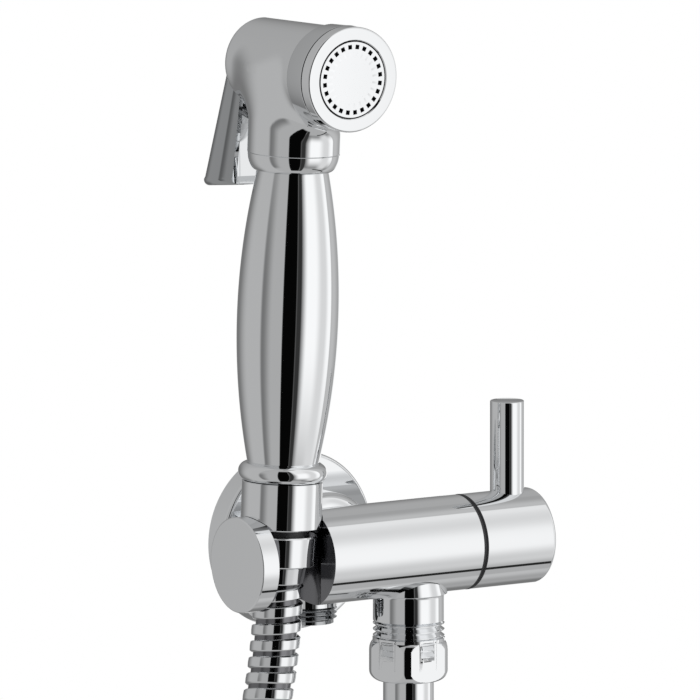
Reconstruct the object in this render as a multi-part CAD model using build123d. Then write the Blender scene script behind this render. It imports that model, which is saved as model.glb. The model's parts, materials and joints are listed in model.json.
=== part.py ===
"""Wall-mounted bidet hand shower with its own quarter-turn tap.

Origin: centre of the mounting plane on the wall. +Y goes into the wall, -Y is the front, +Z is up.
Everything is in millimetres. The handset is built upright about its own axis and then set down
in the holder with a slight lean.
"""
from build123d import *
import math
import os

# Clearances that the fits share
runGap = 0.05
slideGap = 0.1
freeGap = 0.3
bodyGap = 0.3

# Tap body: a horizontal cylinder in front of the wall
axisY = -36.0
bodyRadius = 14.0
bodyLeft = -40.0
lipThickness = 5.6
slotWidth = 19.6
bodyRight = 37.5
bodyEdge = 0.4
lipInner = bodyLeft + lipThickness
slotRight = lipInner + slotWidth
holderX = (lipInner + slotRight) / 2

# Arm between the body and the wall rosette
armRadius = 16.2
armFrontY = -26.5
armEdge = 4.5
flangeRadius = 26.25
flangeDepth = 8.0
flangeWall = 1.0
flangeEdge = 0.8
plateGap = 1.25
plateThickness = 3.0
plateHoleOffset = 19.0
plateHoleRadius = 2.2
plateSinkRadius = 4.2
stubRadius = 11.0
stubReach = 9.7
stubGroove = 0.6
setScrewRadius = 2.0
setScrewY = -10.2
setScrewAngle = -45.0
setScrewKey = 1.0

# Inlet: half-inch pipe thread, compression joint and 15 mm supply pipe
inletX = 20.0
inletRadius = 10.4775
inletPitch = 1.814
inletDepth = 1.16
inletPlainZ = -21.2
inletEndZ = -33.0
inletBore = 6.3
pipeRadius = 7.5
pipeWall = 1.0
pipeStopZ = -28.0
pipeEndZ = -80.0
oliveWidth = 4.6
oliveRadius = 8.7
nutRadius = 11.73
nutTopZ = -26.3
nutBottomZ = -39.1
nutEdge = 3.5
nutFlats = 5
nutFlatApothem = 10.14

# Outlet: bare 3/8 pipe thread under the arm
outletX = -4.5
outletY = -20.0
outletRadius = 8.331
outletPitch = 1.337
outletDepth = 0.856
outletPlainZ = -16.9
outletEndZ = -21.9
outletBore = 5.2
crossBore = 4.5

# Headwork in the right half of the body
cavityRadius = 10.0
seatX = 4.0
seatBore = 5.5
sealThickness = 2.0
discThickness = 3.0
discRadius = 7.8
discHoleRadius = 2.0
discHoleOffset = 4.2
cartridgeWall = 1.7
cartridgeNoseRadius = 9.0
cartridgeNoseEnd = 43.0
guideStart = 20.0
windowRadius = 2.6
spindleRadius = 4.5
spindleForkRadius = 7.4
spindleForkThickness = 2.0
splineRadius = 3.9
splineStart = 44.5
splineEnd = 53.8
splineTeeth = 20
splineDepth = 0.35
ringSection = 0.85
spindleSealX = 28.0
cartridgeSealX = 35.0
clipRadius = 5.6
clipThickness = 0.8

# Handle with its upright lever pin
jointRingThickness = 0.8
jointRingRadius = 13.6
handleLeft = bodyRight + jointRingThickness + 0.1
handleRight = 63.0
handleEdge = 1.4
handleCavityEnd = 44.7
leverX = 54.5
leverRadius = 5.0
leverTop = 40.4
leverFootZ = 9.0
leverEdge = 0.3
studRadius = 2.5
studDepth = 3.5
screwRadius = 2.0
screwHeadRadius = 3.8
screwHeadHeight = 3.0
screwSeatX = 56.0
capRecessX = 61.0
capRadius = 8.2

# Handset: where its axis stands and how far it leans
handsetX = -25.1
handsetLean = 2.4

# Holder bores for the handset
seatZ = 10.0
lowerBore = 11.6
sleeveRadius = 11.8

# Handset heights, measured up its own axis
sleeveBottom = seatZ
sleeveTop = 23.6
sleeveInner = 10.3
sleeveFloor = 1.2
collarRadius = 13.0
collarTop = 28.9
gripTop = 114.4
gripMidZ = 72.6
gripMidRadius = 14.9
gripEndRadius = 10.45
gripWall = 1.6
tailThreadRadius = 8.331
tailBottom = 3.6
tailFlangeRadius = 10.2
tailFlangeTop = 14.0
tailSpigotRadius = 7.0
tailTop = 31.0
tailBore = 4.2
tubeRadius = 5.0
tubeWall = 0.9
tubeBottom = 26.0
tubeTop = 122.0
bowlTop = 119.8
bowlTopRadius = 13.45
bowlBottomRadius = 10.7
neckRadius = 13.6
neckTopRadius = 13.2
neckRound = 5.0

# Spray head: a barrel along -Y on top of the neck
barrelZ = 144.3
barrelRear = 19.7
barrelRearRadius = 12.6
barrelFront = -16.7
barrelFrontRadius = 14.3
barrelEdge = 1.6
capFront = -25.4
capRadiusBack = 14.9
capRadiusFront = 15.4
faceFront = -29.4
faceRadius = 15.4
faceEdge = 0.5
faceInner = 11.45
sprayRadius = 11.3
sprayThickness = 1.6
sprayRecess = 0.2
sprayHoles = 24
sprayHoleSize = 1.25
sprayHoleCircle = 9.6
chamberRadius = 11.0
chamberRear = 9.5
chamberRearRadius = 9.0
chamberStep = -10.0

# Valve in the neck, along the head's own axis
valveZ = 128.0
cageRadius = 6.0
cageInner = 4.6
cageFront = -9.5
cageRear = 13.0
cageFloor = 1.0
valveSeatY = 3.0
valveSeatWidth = 1.5
valveSeatBore = 2.7
glandY = 9.4
stemRadius = 1.6
poppetRadius = 4.2
poppetThickness = 1.2
poppetSealThickness = 1.05
inflowY = -3.0
springRadius = 3.2
springWire = 0.35
springTurns = 5
outflowY = 6.6
outflowBore = 2.2
stemSealSection = 0.7

# Trigger lever behind the neck
pivotY = 15.5
pivotZ = 137.0
pivotPinRadius = 1.25
pivotPinHalf = 7.4
tongueHalf = 2.9
tongueRadius = 2.6
leverHalf = 8.5
leverWall = 1.4
leverRound = 4.5
leverCorner = 2.0
leverTopZ = 138.5
leverBottomZ = 106.0
leverRearY = 37.3
leverSlope = 0.336
leverFrontY = 18.6
leverFrontZ = 107.8
leverRimY = 15.3
leverRimZ = 127.0
leverShoulderZ = 132.0
leverInnerY = 20.35
bossY = 22.62
bossHalf = 3.4
bossTopZ = 130.5
bossBottomZ = 125.5
tipGap = 0.15

# Hose joint under the handset
hoseNutTop = 7.9
hoseNutBottom = -1.0
hoseNutTopRadius = 10.8
hoseNutBottomRadius = 10.4
hoseNutLedge = 1.95
washerThickness = 1.3
washerBore = 5.0
insertFlangeRadius = 8.1
insertFlangeThickness = 1.2
insertNeckRadius = 6.4
insertSpigotRadius = 4.6
insertSpigotLength = 14.0
insertBore = 3.6
ferruleLength = 5.3
ferruleTopRadius = 7.85
ferruleBottomRadius = 6.95

# Hose: strip-wound metal, 14.6 mm over its bands
hoseRadius = 7.3
hoseGroove = 6.25
hoseBore = 5.0
hosePitch = 4.94
hoseBand = 3.25
hoseStep = 0.12
hoseStraight = 18.0

# Coil of the stored length, hanging in front of the wall
coilX = 34.3
coilY = -52.5
coilZ = -136.0
coilRadius = 76.8
coilTurns = 1.75
coilPitch = 15.3
coilRunOff = 5.5
coilStart = 180.0
tieAngles = (270.0, 360.0)
tieWidth = 10.0
tieThickness = 1.2
tieGap = 0.4

# Far end of the hose: a hexagon nut for the outlet thread
farNutFlats = 19.0
farNutLength = 14.0
farNutMinor = 7.475
farNutRelief = 8.3
farNutEdge = 0.8
farNutLedge = 2.0
farFerruleRadius = 8.1


def cylinderX(radius, x0, x1, y=axisY, z=0.0):
    return Pos((x0 + x1) / 2, y, z) * Rot(0, 90, 0) * Cylinder(radius, x1 - x0)


def cylinderY(radius, y0, y1, x=0.0, z=0.0):
    return Pos(x, (y0 + y1) / 2, z) * Rot(90, 0, 0) * Cylinder(radius, y1 - y0)


def cylinderZ(radius, z0, z1, x=0.0, y=0.0):
    return Pos(x, y, (z0 + z1) / 2) * Cylinder(radius, z1 - z0)


def tubeX(outer, inner, x0, x1):
    return cylinderX(outer, x0, x1) - cylinderX(inner, x0 - 1, x1 + 1)


def tubeY(outer, inner, y0, y1, x=0.0, z=0.0):
    return cylinderY(outer, y0, y1, x, z) - cylinderY(inner, y0 - 1, y1 + 1, x, z)


def tubeZ(outer, inner, z0, z1, x=0.0, y=0.0):
    return cylinderZ(outer, z0, z1, x, y) - cylinderZ(inner, z0 - 1, z1 + 1, x, y)


def lathe(*edges):
    """A turned solid about Z from an outline of radius and height, closed by a straight line."""
    outline = Wire(edges)
    if not outline.is_closed:
        outline = Wire(list(edges) + [Line(outline @ 1, outline @ 0)])
    return revolve(Plane.XZ * make_face(outline), Axis.Z)


def turned(points):
    return lathe(*Polyline(*points, close=True).edges())


def screwProfile(radius, depth, pitch, z0, z1, inner):
    """Turned ring grooves that stand for a thread, from z0 down to z1, with a lead-in at the end."""
    count = int((z0 - z1) / pitch)
    points = [(inner, z0), (radius - depth, z0)]
    for turn in range(count):
        top = z0 - turn * pitch
        points.append((radius, top - 0.42 * pitch))
        points.append((radius, top - 0.58 * pitch))
        points.append((radius - depth, top - pitch))
    points.append((radius - depth, z1))
    points.append((inner, z1))
    return turned(points)


def ringSeal(major, section, x):
    return Pos(x, axisY, 0) * Rot(0, 90, 0) * Torus(major, section)


def lean(shape):
    """Sets a handset piece down in the holder."""
    return Pos(handsetX, axisY, 0) * Rot(0, handsetLean, 0) * shape


def wallPlate():
    plate = cylinderY(flangeRadius - flangeWall - plateGap, -plateThickness, 0)
    stubEnd = -plateThickness - stubReach
    stub = cylinderY(stubRadius, stubEnd, -plateThickness)
    grooveWidth = setScrewRadius + slideGap
    groove = tubeY(
        stubRadius + 1, stubRadius - stubGroove, setScrewY - grooveWidth, setScrewY + grooveWidth
    )
    plate = plate + stub - groove
    for side in (-1, 1):
        x = side * plateHoleOffset
        plate -= cylinderY(plateHoleRadius, -plateThickness - 1, 1, x)
        sinkDepth = plateSinkRadius - plateHoleRadius
        sink = Cone(plateHoleRadius, plateSinkRadius, sinkDepth)
        plate -= Pos(x, -plateThickness + sinkDepth / 2, 0) * Rot(90, 0, 0) * sink
    return plate


def wallFlange():
    faceHole = armRadius + slideGap
    inner = flangeRadius - flangeWall
    cup = turned([
        (faceHole, flangeDepth - flangeWall),
        (faceHole, flangeDepth),
        (flangeRadius - flangeEdge, flangeDepth),
        (flangeRadius, flangeDepth - flangeEdge),
        (flangeRadius, 0),
        (inner, 0),
        (inner, flangeDepth - flangeWall),
    ])
    return Rot(90, 0, 0) * cup


def armSetScrew():
    tip = stubRadius - stubGroove + 0.05
    screw = cylinderZ(setScrewRadius, tip, armRadius - 0.6)
    key = extrude(RegularPolygon(setScrewKey, 6), 2.0)
    screw -= Pos(0, 0, armRadius - 2.6) * key
    return Pos(0, setScrewY, 0) * Rot(0, 90 - setScrewAngle, 0) * screw


def valveBody():
    body = cylinderX(bodyRadius, bodyLeft, bodyRight)
    ends = body.edges().filter_by(GeomType.CIRCLE)
    body = chamfer(ends, bodyEdge)

    # Arm to the wall, with a rounded front shoulder
    armLength = -plateThickness - armFrontY
    arm = Cylinder(armRadius, armLength)
    arm = fillet(arm.edges().filter_by(GeomType.CIRCLE).sort_by(Axis.Z)[-1:], armEdge)
    body += Pos(0, armFrontY + armLength / 2, 0) * Rot(90, 0, 0) * arm

    # Inlet neck with its thread
    neck = cylinderZ(inletRadius, inletPlainZ, 0)
    thread = screwProfile(inletRadius, inletDepth, inletPitch, inletPlainZ, inletEndZ, inletBore - 1)
    body += Pos(inletX, axisY, 0) * (neck + thread)

    # Outlet neck with its thread
    neck = cylinderZ(outletRadius, outletPlainZ, 0)
    thread = screwProfile(
        outletRadius, outletDepth, outletPitch, outletPlainZ, outletEndZ, outletBore - 1
    )
    body += Pos(outletX, outletY, 0) * (neck + thread)

    # Waterways: inlet, headwork chamber, seat, cross bore and outlet
    body -= cylinderZ(inletBore, inletEndZ - 1, 0, inletX, axisY)
    body -= cylinderZ(pipeRadius + slideGap, inletEndZ - 1, pipeStopZ, inletX, axisY)
    coneDepth = 2.0
    coneMouth = oliveRadius + freeGap
    cone = Cone(coneMouth, pipeRadius + slideGap, coneDepth)
    body -= Pos(inletX, axisY, inletEndZ + coneDepth / 2) * cone
    body -= cylinderX(cavityRadius, seatX, bodyRight + 1)
    body -= cylinderX(seatBore, outletX - crossBore / 2, seatX + 1)
    body -= cylinderY(crossBore, axisY, outletY, outletX)
    body -= cylinderZ(outletBore, outletEndZ - 1, 0, outletX, outletY)

    # Socket for the wall stub and the tapped hole of its set screw
    socketEnd = -plateThickness - stubReach - freeGap
    body -= cylinderY(stubRadius + slideGap, socketEnd, 0)
    tapped = cylinderZ(setScrewRadius + runGap, stubRadius - 1, armRadius + 1)
    body -= Pos(0, setScrewY, 0) * Rot(0, 90 - setScrewAngle, 0) * tapped

    # Holder: open slot at the front, plain bore below and seat bore above
    slotDepth = bodyRadius + 2
    slot = Box(slotWidth, slotDepth, 2 * bodyRadius + 2)
    body -= Pos(holderX, axisY - slotDepth / 2, 0) * slot
    body -= cylinderZ(lowerBore, -bodyRadius - 1, bodyRadius + 1, holderX, axisY)
    body -= lean(cylinderZ(sleeveRadius + bodyGap, seatZ, bodyRadius + 6))
    return body


def seatSeal():
    return tubeX(cavityRadius - freeGap, seatBore + slideGap, seatX, seatX + sealThickness)


def portedDisc(x0, x1, angle):
    disc = cylinderX(discRadius, x0, x1)
    for side in (0, 180):
        turn = math.radians(angle + side)
        y = axisY + discHoleOffset * math.cos(turn)
        z = discHoleOffset * math.sin(turn)
        disc -= cylinderX(discHoleRadius, x0 - 1, x1 + 1, y, z)
    return disc


def cartridgeBody():
    x0 = seatX + sealThickness
    outer = cavityRadius - freeGap
    collarStart = cartridgeSealX - 2
    shell = cylinderX(outer, x0, collarStart)
    shell += cylinderX(cavityRadius - runGap, collarStart, bodyRight)
    shell += cylinderX(cartridgeNoseRadius, bodyRight, cartridgeNoseEnd)
    shell -= cylinderX(outer - cartridgeWall, x0, guideStart)
    shell -= cylinderX(spindleRadius + runGap, guideStart - 1, cartridgeNoseEnd + 1)
    shell += tubeX(outer - 1, seatBore, x0, x0 + discSeatX)
    windowX = discRearX + spindleForkThickness + windowRadius + 0.6
    shell -= cylinderY(windowRadius, axisY - cavityRadius - 1, axisY + cavityRadius + 1, windowX)
    shell -= cylinderZ(windowRadius, -cavityRadius - 1, cavityRadius + 1, windowX, axisY)
    shell -= ringSeal(cavityRadius - ringSection, ringSection + slideGap, cartridgeSealX)
    return shell


# Places of the two ceramic discs, counted from the seat seal
discSeatX = 1.0
fixedDiscX = seatX + sealThickness + discSeatX
turningDiscX = fixedDiscX + discThickness + 0.02
discRearX = turningDiscX + discThickness


def spindle():
    forkX = discRearX + runGap
    stem = cylinderX(spindleForkRadius, forkX, forkX + spindleForkThickness)
    stem += cylinderX(spindleRadius, forkX, cartridgeNoseEnd + clipThickness + 0.7)
    spline = cylinderX(splineRadius, cartridgeNoseEnd, splineEnd)
    for tooth in range(splineTeeth):
        turn = 2 * math.pi * tooth / splineTeeth
        y = axisY + splineRadius * math.cos(turn)
        z = splineRadius * math.sin(turn)
        spline -= cylinderX(splineDepth, splineStart, splineEnd + 1, y, z)
    stem += spline
    stem -= ringSeal(spindleRadius - ringSection, ringSection + slideGap, spindleSealX)
    grooveX = cartridgeNoseEnd + slideGap
    grooveFloor = spindleRadius - 1.2
    stem -= tubeX(spindleRadius + 1, grooveFloor, grooveX, grooveX + clipThickness + slideGap)
    stem -= cylinderX(screwRadius, splineEnd - 9, splineEnd + 1)
    return stem


def retainingClip():
    x0 = cartridgeNoseEnd + slideGap + runGap
    clip = tubeX(clipRadius, spindleRadius - 1.15, x0, x0 + clipThickness)
    gap = Box(2 * clipThickness, clipRadius, 3.0)
    return clip - Pos(x0 + clipThickness / 2, axisY - clipRadius / 2 - 2, 0) * gap


def jointRing():
    return tubeX(jointRingRadius, cavityRadius + slideGap, bodyRight, bodyRight + jointRingThickness)


def tapHandle():
    handle = cylinderX(bodyRadius, handleLeft, handleRight)
    ends = handle.edges().filter_by(GeomType.CIRCLE).sort_by(Axis.X)
    handle = chamfer(ends[:1], bodyEdge)
    handle = fillet(handle.edges().filter_by(GeomType.CIRCLE).sort_by(Axis.X)[-1:], handleEdge)
    handle -= cylinderX(cavityRadius + freeGap, handleLeft - 1, handleCavityEnd)
    handle -= cylinderX(splineRadius + runGap, handleCavityEnd - 1, splineEnd + slideGap)
    handle -= cylinderX(screwRadius + slideGap, splineEnd - 1, screwSeatX + 1)
    handle -= cylinderX(screwHeadRadius + freeGap, screwSeatX, handleRight + 1)
    handle -= cylinderX(capRadius + runGap, capRecessX, handleRight + 1)
    handle -= cylinderZ(leverRadius + runGap, leverFootZ, bodyRadius + 2, leverX, axisY)
    handle -= cylinderZ(studRadius + runGap, leverFootZ - studDepth, leverFootZ + 1, leverX, axisY)
    return handle


def leverPin():
    pin = cylinderZ(leverRadius, leverFootZ, leverTop, leverX, axisY)
    top = pin.edges().filter_by(GeomType.CIRCLE).sort_by(Axis.Z)[-1:]
    pin = chamfer(top, leverEdge)
    stud = cylinderZ(studRadius, leverFootZ - studDepth + slideGap, leverFootZ, leverX, axisY)
    return pin + stud


def handleScrew():
    screw = cylinderX(screwRadius - runGap, splineEnd - 8, screwSeatX)
    screw += cylinderX(screwHeadRadius, screwSeatX, screwSeatX + screwHeadHeight)
    key = Rot(0, 90, 0) * extrude(RegularPolygon(1.7, 6), 2.0)
    return screw - Pos(screwSeatX + screwHeadHeight - 2.0, axisY, 0) * key


def handleCap():
    cap = cylinderX(capRadius, capRecessX, handleRight - 0.3)
    return chamfer(cap.edges().filter_by(GeomType.CIRCLE).sort_by(Axis.X)[-1:], 0.4)


def compressionNut():
    """A barrel-shaped nut with flat facets, the first of which faces the front."""
    nut = cylinderZ(nutRadius, nutBottomZ, nutTopZ)
    nut = fillet(nut.edges().filter_by(GeomType.CIRCLE), nutEdge)
    for flat in range(nutFlats):
        cutter = Pos(0, -nutFlatApothem - nutRadius, (nutTopZ + nutBottomZ) / 2)
        block = Box(3 * nutRadius, 2 * nutRadius, 2 * (nutTopZ - nutBottomZ))
        nut -= Rot(0, 0, 360 * flat / nutFlats) * cutter * block
    coneTop = inletEndZ - 2.2
    coneBottom = nutBottomZ + 2.3
    nut -= cylinderZ(inletRadius + slideGap, coneTop, nutTopZ + 1)
    cone = Cone(pipeRadius + 0.5, inletRadius + slideGap, coneTop - coneBottom)
    nut -= Pos(0, 0, (coneTop + coneBottom) / 2) * cone
    nut -= cylinderZ(pipeRadius + 0.15, nutBottomZ - 1, coneBottom + 1)
    return Pos(inletX, axisY, 0) * nut


def olive():
    bottom = inletEndZ - 3.0
    top = bottom + oliveWidth
    inner = pipeRadius + 0.02
    ring = turned([
        (inner, bottom),
        (oliveRadius - 0.4, bottom),
        (oliveRadius, inletEndZ - 1.6),
        (oliveRadius, inletEndZ - 0.4),
        (inner + 0.2, top),
        (inner, top),
    ])
    return Pos(inletX, axisY, 0) * ring


def supplyPipe():
    pipe = tubeZ(pipeRadius, pipeRadius - pipeWall, pipeEndZ, pipeStopZ)
    return Pos(inletX, axisY, 0) * pipe


def handsetTail():
    tail = cylinderZ(tailThreadRadius, tailBottom, sleeveBottom + sleeveFloor)
    tail += cylinderZ(tailFlangeRadius, sleeveBottom + sleeveFloor, tailFlangeTop)
    tail += cylinderZ(tailSpigotRadius, tailFlangeTop, tailTop)
    tail -= cylinderZ(tailBore, tailBottom - 1, tailTop + 1)
    tail -= cylinderZ(tubeRadius + runGap, tubeBottom, tailTop + 1)
    return lean(tail)


def holderSleeve():
    sleeve = tubeZ(sleeveRadius, sleeveInner, sleeveBottom, sleeveTop)
    sleeve += tubeZ(
        sleeveInner + 0.5, tailThreadRadius + slideGap, sleeveBottom, sleeveBottom + sleeveFloor
    )
    return lean(sleeve)


def ringCollar():
    """A ring with a nearly half-round rim."""
    rim = collarRadius - 2.0
    ring = lathe(
        Line((tailSpigotRadius + runGap, sleeveTop), (rim, sleeveTop)),
        ThreePointArc((rim, sleeveTop), (collarRadius, (sleeveTop + collarTop) / 2), (rim, collarTop)),
        Line((rim, collarTop), (tailSpigotRadius + runGap, collarTop)),
    )
    return lean(ring)


def gripShell():
    """A barrel-shaped shell with closed ends that sit on the tail and round the water tube."""
    outerArc = ThreePointArc(
        (gripEndRadius, collarTop), (gripMidRadius, gripMidZ), (gripEndRadius, gripTop)
    )
    endInner = gripEndRadius - gripWall
    floor = collarTop + 2.0
    ceiling = gripTop - 2.0
    innerArc = ThreePointArc(
        (endInner, ceiling), (gripMidRadius - gripWall, gripMidZ), (endInner, floor)
    )
    bottomHole = tailSpigotRadius + runGap
    topHole = tubeRadius + runGap
    shell = lathe(
        Line((bottomHole, collarTop), (gripEndRadius, collarTop)),
        outerArc,
        Line((gripEndRadius, gripTop), (topHole, gripTop)),
        Line((topHole, gripTop), (topHole, ceiling)),
        Line((topHole, ceiling), (endInner, ceiling)),
        innerArc,
        Line((endInner, floor), (bottomHole, floor)),
        Line((bottomHole, floor), (bottomHole, collarTop)),
    )
    return lean(shell)


def waterTube():
    return lean(tubeZ(tubeRadius, tubeRadius - tubeWall, tubeBottom, tubeTop))


def neckCollar():
    """A bowl that narrows from the neck down to the grip."""
    hole = tubeRadius + runGap
    width = bowlTopRadius - bowlBottomRadius
    height = bowlTop - gripTop
    side = EllipticalCenterArc((bowlBottomRadius, bowlTop), width, height, 270, arc_size=90)
    bowl = lathe(
        Line((hole, gripTop), (bowlBottomRadius, gripTop)),
        side,
        Line((bowlTopRadius, bowlTop), (hole, bowlTop)),
        Line((hole, bowlTop), (hole, gripTop)),
    )
    return lean(bowl)


def headLathe(points):
    """Turns an outline about the barrel's axis: the heights of the outline run towards the front."""
    return Pos(0, 0, barrelZ) * Rot(90, 0, 0) * turned(points)


def headBody():
    barrel = headLathe([
        (0, -barrelRear),
        (barrelRearRadius - barrelEdge, -barrelRear),
        (barrelRearRadius, -barrelRear + barrelEdge),
        (barrelFrontRadius, -barrelFront),
        (0, -barrelFront),
    ])
    neck = Cone(neckRadius, neckTopRadius, barrelZ - bowlTop)
    head = barrel + Pos(0, 0, (barrelZ + bowlTop) / 2) * neck
    seam = [
        edge
        for edge in head.edges()
        if bowlTop + 1 < edge.center().Z < barrelZ - 1
        and edge.geom_type not in (GeomType.CIRCLE, GeomType.LINE)
    ]
    head = fillet(seam, neckRound)

    # Water chamber behind the spray plate
    head -= Pos(0, 0, barrelZ) * cylinderY(chamberRadius, barrelFront - 1, chamberStep)
    head -= Pos(0, 0, barrelZ) * cylinderY(chamberRearRadius, chamberStep - 1, chamberRear)

    # Valve hole from the rear of the neck, its inflow from the tube and its outflow to the barrel
    head -= Pos(0, 0, valveZ) * cylinderY(cageRadius + runGap, cageFront - slideGap, neckRadius + 1)
    head -= cylinderZ(tubeRadius + runGap, bowlTop - 1, tubeTop + slideGap)
    head -= cylinderZ(tubeRadius - tubeWall, bowlTop, valveZ)
    head -= cylinderZ(outflowBore, valveZ, barrelZ, 0, outflowY)

    # Slot for the trigger's tongue and the hole for its pin, open on the right
    slotFront = pivotY - tongueRadius - 0.6
    slotTop = pivotZ + tongueRadius + 0.6
    slotBottom = barrelZ - barrelRearRadius - 2
    slot = Box(2 * (tongueHalf + bodyGap), barrelRear + 1 - slotFront, slotTop - slotBottom)
    head -= Pos(0, (barrelRear + 1 + slotFront) / 2, (slotTop + slotBottom) / 2) * slot
    pinHole = Pos(0, 0, pivotZ) * Rot(0, 90, 0) * Cylinder(pivotPinRadius, 2 * pivotPinHalf + 6)
    head -= Pos(3, pivotY, 0) * pinHole
    return lean(head)


def capRing():
    ring = headLathe([
        (chamberRadius, -barrelFront),
        (capRadiusBack, -barrelFront),
        (capRadiusFront, -capFront - 0.3),
        (capRadiusFront - 0.3, -capFront),
        (chamberRadius, -capFront),
    ])
    return lean(ring)


def faceRing():
    depth = -faceFront - sprayRecess - sprayThickness
    ring = headLathe([
        (faceInner - 1.5, -capFront),
        (faceRadius - 0.3, -capFront),
        (faceRadius, -capFront + 0.3),
        (faceRadius, -faceFront - faceEdge),
        (faceRadius - faceEdge, -faceFront),
        (faceInner, -faceFront),
        (faceInner, depth),
        (faceInner - 1.5, depth),
    ])
    return lean(ring)


def sprayPlate():
    front = faceFront + sprayRecess
    plate = Pos(0, 0, barrelZ) * cylinderY(sprayRadius, front, front + sprayThickness)
    for hole in range(sprayHoles):
        turn = 360 * (hole + 0.5) / sprayHoles
        cutter = Pos(0, front, sprayHoleCircle) * Box(sprayHoleSize, 5 * sprayThickness, sprayHoleSize)
        plate -= Pos(0, 0, barrelZ) * Rot(0, turn, 0) * cutter
    return lean(plate)


def plateSeal():
    outer = faceInner - 1.5 - slideGap
    rear = faceFront + sprayRecess + sprayThickness
    return lean(Pos(0, 0, barrelZ) * tubeY(outer, outer - 1.2, rear, rear + 1.5))


def valveCage():
    """The valve's bushing: a tube with a floor, a seat ring and a gland for the stem."""
    cage = cylinderY(cageRadius, cageFront, cageRear)
    cage -= cylinderY(cageInner, cageFront + cageFloor, valveSeatY)
    cage -= cylinderY(valveSeatBore, valveSeatY - 1, valveSeatY + valveSeatWidth + 1)
    cage -= cylinderY(cageInner, valveSeatY + valveSeatWidth, glandY)
    cage -= cylinderY(stemRadius + runGap, glandY - 1, cageRear + 1)
    cage -= cylinderZ(outflowBore, -cageRadius - 1, cageRadius + 1, 0, outflowY)
    cage -= cylinderZ(outflowBore, -cageRadius - 1, cageRadius + 1, 0, inflowY)
    return lean(Pos(0, 0, valveZ) * cage)


def stemSeal():
    torus = Torus(stemRadius + slideGap + stemSealSection, stemSealSection)
    return lean(Pos(0, glandY - stemSealSection - runGap, valveZ) * Rot(90, 0, 0) * torus)


def valvePlunger():
    poppetRear = valveSeatY - runGap - poppetSealThickness
    plunger = cylinderY(poppetRadius, poppetRear - poppetThickness, poppetRear)
    plunger += cylinderY(stemRadius, poppetRear, stemTipY)
    return lean(Pos(0, 0, valveZ) * plunger)


def plungerSeal():
    rear = valveSeatY - runGap
    return lean(Pos(0, 0, valveZ) * tubeY(poppetRadius, stemRadius, rear - poppetSealThickness, rear))


def leverRear(z):
    """How far behind the handset's axis the lever's back lies at a height."""
    return leverRearY - leverSlope * (z - leverBottomZ)


# The stem ends just short of the trigger's boss
stemTipY = bossY - tipGap


def springEnds():
    front = cageFront + cageFloor + springWire + slideGap
    rear = valveSeatY - runGap - poppetSealThickness - poppetThickness - springWire - slideGap
    return front, rear


def valveSpring():
    front, rear = springEnds()
    length = rear - front
    path = Helix(length / springTurns, length, springRadius)
    section = Plane(path @ 0, z_dir=path % 0) * Circle(springWire)
    coil = sweep(section, path=path)
    return lean(Pos(0, rear, valveZ) * Rot(90, 0, 0) * coil)


def triggerPin():
    return lean(Pos(0, pivotY, pivotZ) * Rot(0, 90, 0) * Cylinder(pivotPinRadius, 2 * pivotPinHalf))


def leverBlock(inset):
    """A block with a rounded back along the lever's slope."""
    tilt = math.degrees(math.atan(leverSlope))
    middleZ = (leverTopZ + leverBottomZ) / 2
    block = Box(2 * (leverHalf - inset), leverRearY, 2 * (leverTopZ - leverBottomZ))
    back = block.edges().filter_by(Axis.Z).sort_by(Axis.Y)[-2:]
    block = Pos(0, -leverRearY / 2 - inset, 0) * fillet(back, leverRound - inset)
    return Pos(0, leverRear(middleZ), middleZ) * Rot(tilt, 0, 0) * block


def leverPrism(half, points):
    outline = Polyline(*points, close=True)
    return extrude(Plane.YZ * make_face(outline), half, both=True)


def triggerLever():
    """A shell, open towards the neck, with a tongue to the pivot and a boss for the stem."""
    side = leverPrism(leverHalf, [
        (leverInnerY, leverTopZ),
        (leverRear(leverTopZ), leverTopZ),
        (leverRearY, leverBottomZ),
        (leverFrontY, leverFrontZ),
        (leverRimY, leverRimZ),
        (leverInnerY, leverShoulderZ),
    ])
    side = fillet(side.edges().filter_by(Axis.X).sort_by(Axis.Z)[:2], leverCorner)
    lever = leverBlock(0) & side
    hollow = leverPrism(leverHalf, [
        (0, leverTopZ - leverWall),
        (leverRearY, leverTopZ - leverWall),
        (leverRearY, leverBottomZ + leverWall),
        (leverFrontY, leverFrontZ + leverWall),
        (0, leverFrontZ + leverWall),
    ])
    lever -= leverBlock(leverWall) & hollow

    # Tongue with the pivot hole
    tongueRear = leverRear(pivotZ) - leverWall / 2
    tongue = cylinderX(tongueRadius, -tongueHalf, tongueHalf, pivotY, pivotZ)
    web = Box(2 * tongueHalf, tongueRear - pivotY, 2 * (leverTopZ - pivotZ))
    tongue += Pos(0, (tongueRear + pivotY) / 2, pivotZ) * web

    # Boss that meets the valve stem
    boss = leverPrism(bossHalf, [
        (bossY, bossTopZ),
        (leverRear(bossTopZ) - leverWall / 2, bossTopZ),
        (leverRear(bossBottomZ) - leverWall / 2, bossBottomZ),
        (bossY, bossBottomZ),
    ])
    lever += tongue + boss
    lever -= cylinderX(pivotPinRadius + runGap, -tongueHalf - 1, tongueHalf + 1, pivotY, pivotZ)
    return lean(lever)


def coupling(insertTop, length, nutInner):
    """A hose insert: flange inside the nut, neck through its ledge and spigot into the hose."""
    insert = cylinderZ(insertFlangeRadius, insertTop - insertFlangeThickness, insertTop)
    insert += cylinderZ(nutInner, insertTop - length, insertTop - insertFlangeThickness)
    spigotBottom = insertTop - length - insertSpigotLength
    insert += cylinderZ(insertSpigotRadius, spigotBottom, insertTop - length)
    return insert - cylinderZ(insertBore, spigotBottom - 1, insertTop + 1)


# Heights in the far nut: its ledge, the insert's flange, the washer and then the thread
farLedgeTop = ferruleLength + farNutLedge
farFlangeTop = farLedgeTop + 0.05 + insertFlangeThickness
farWasherTop = farFlangeTop + 0.05 + washerThickness

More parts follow.
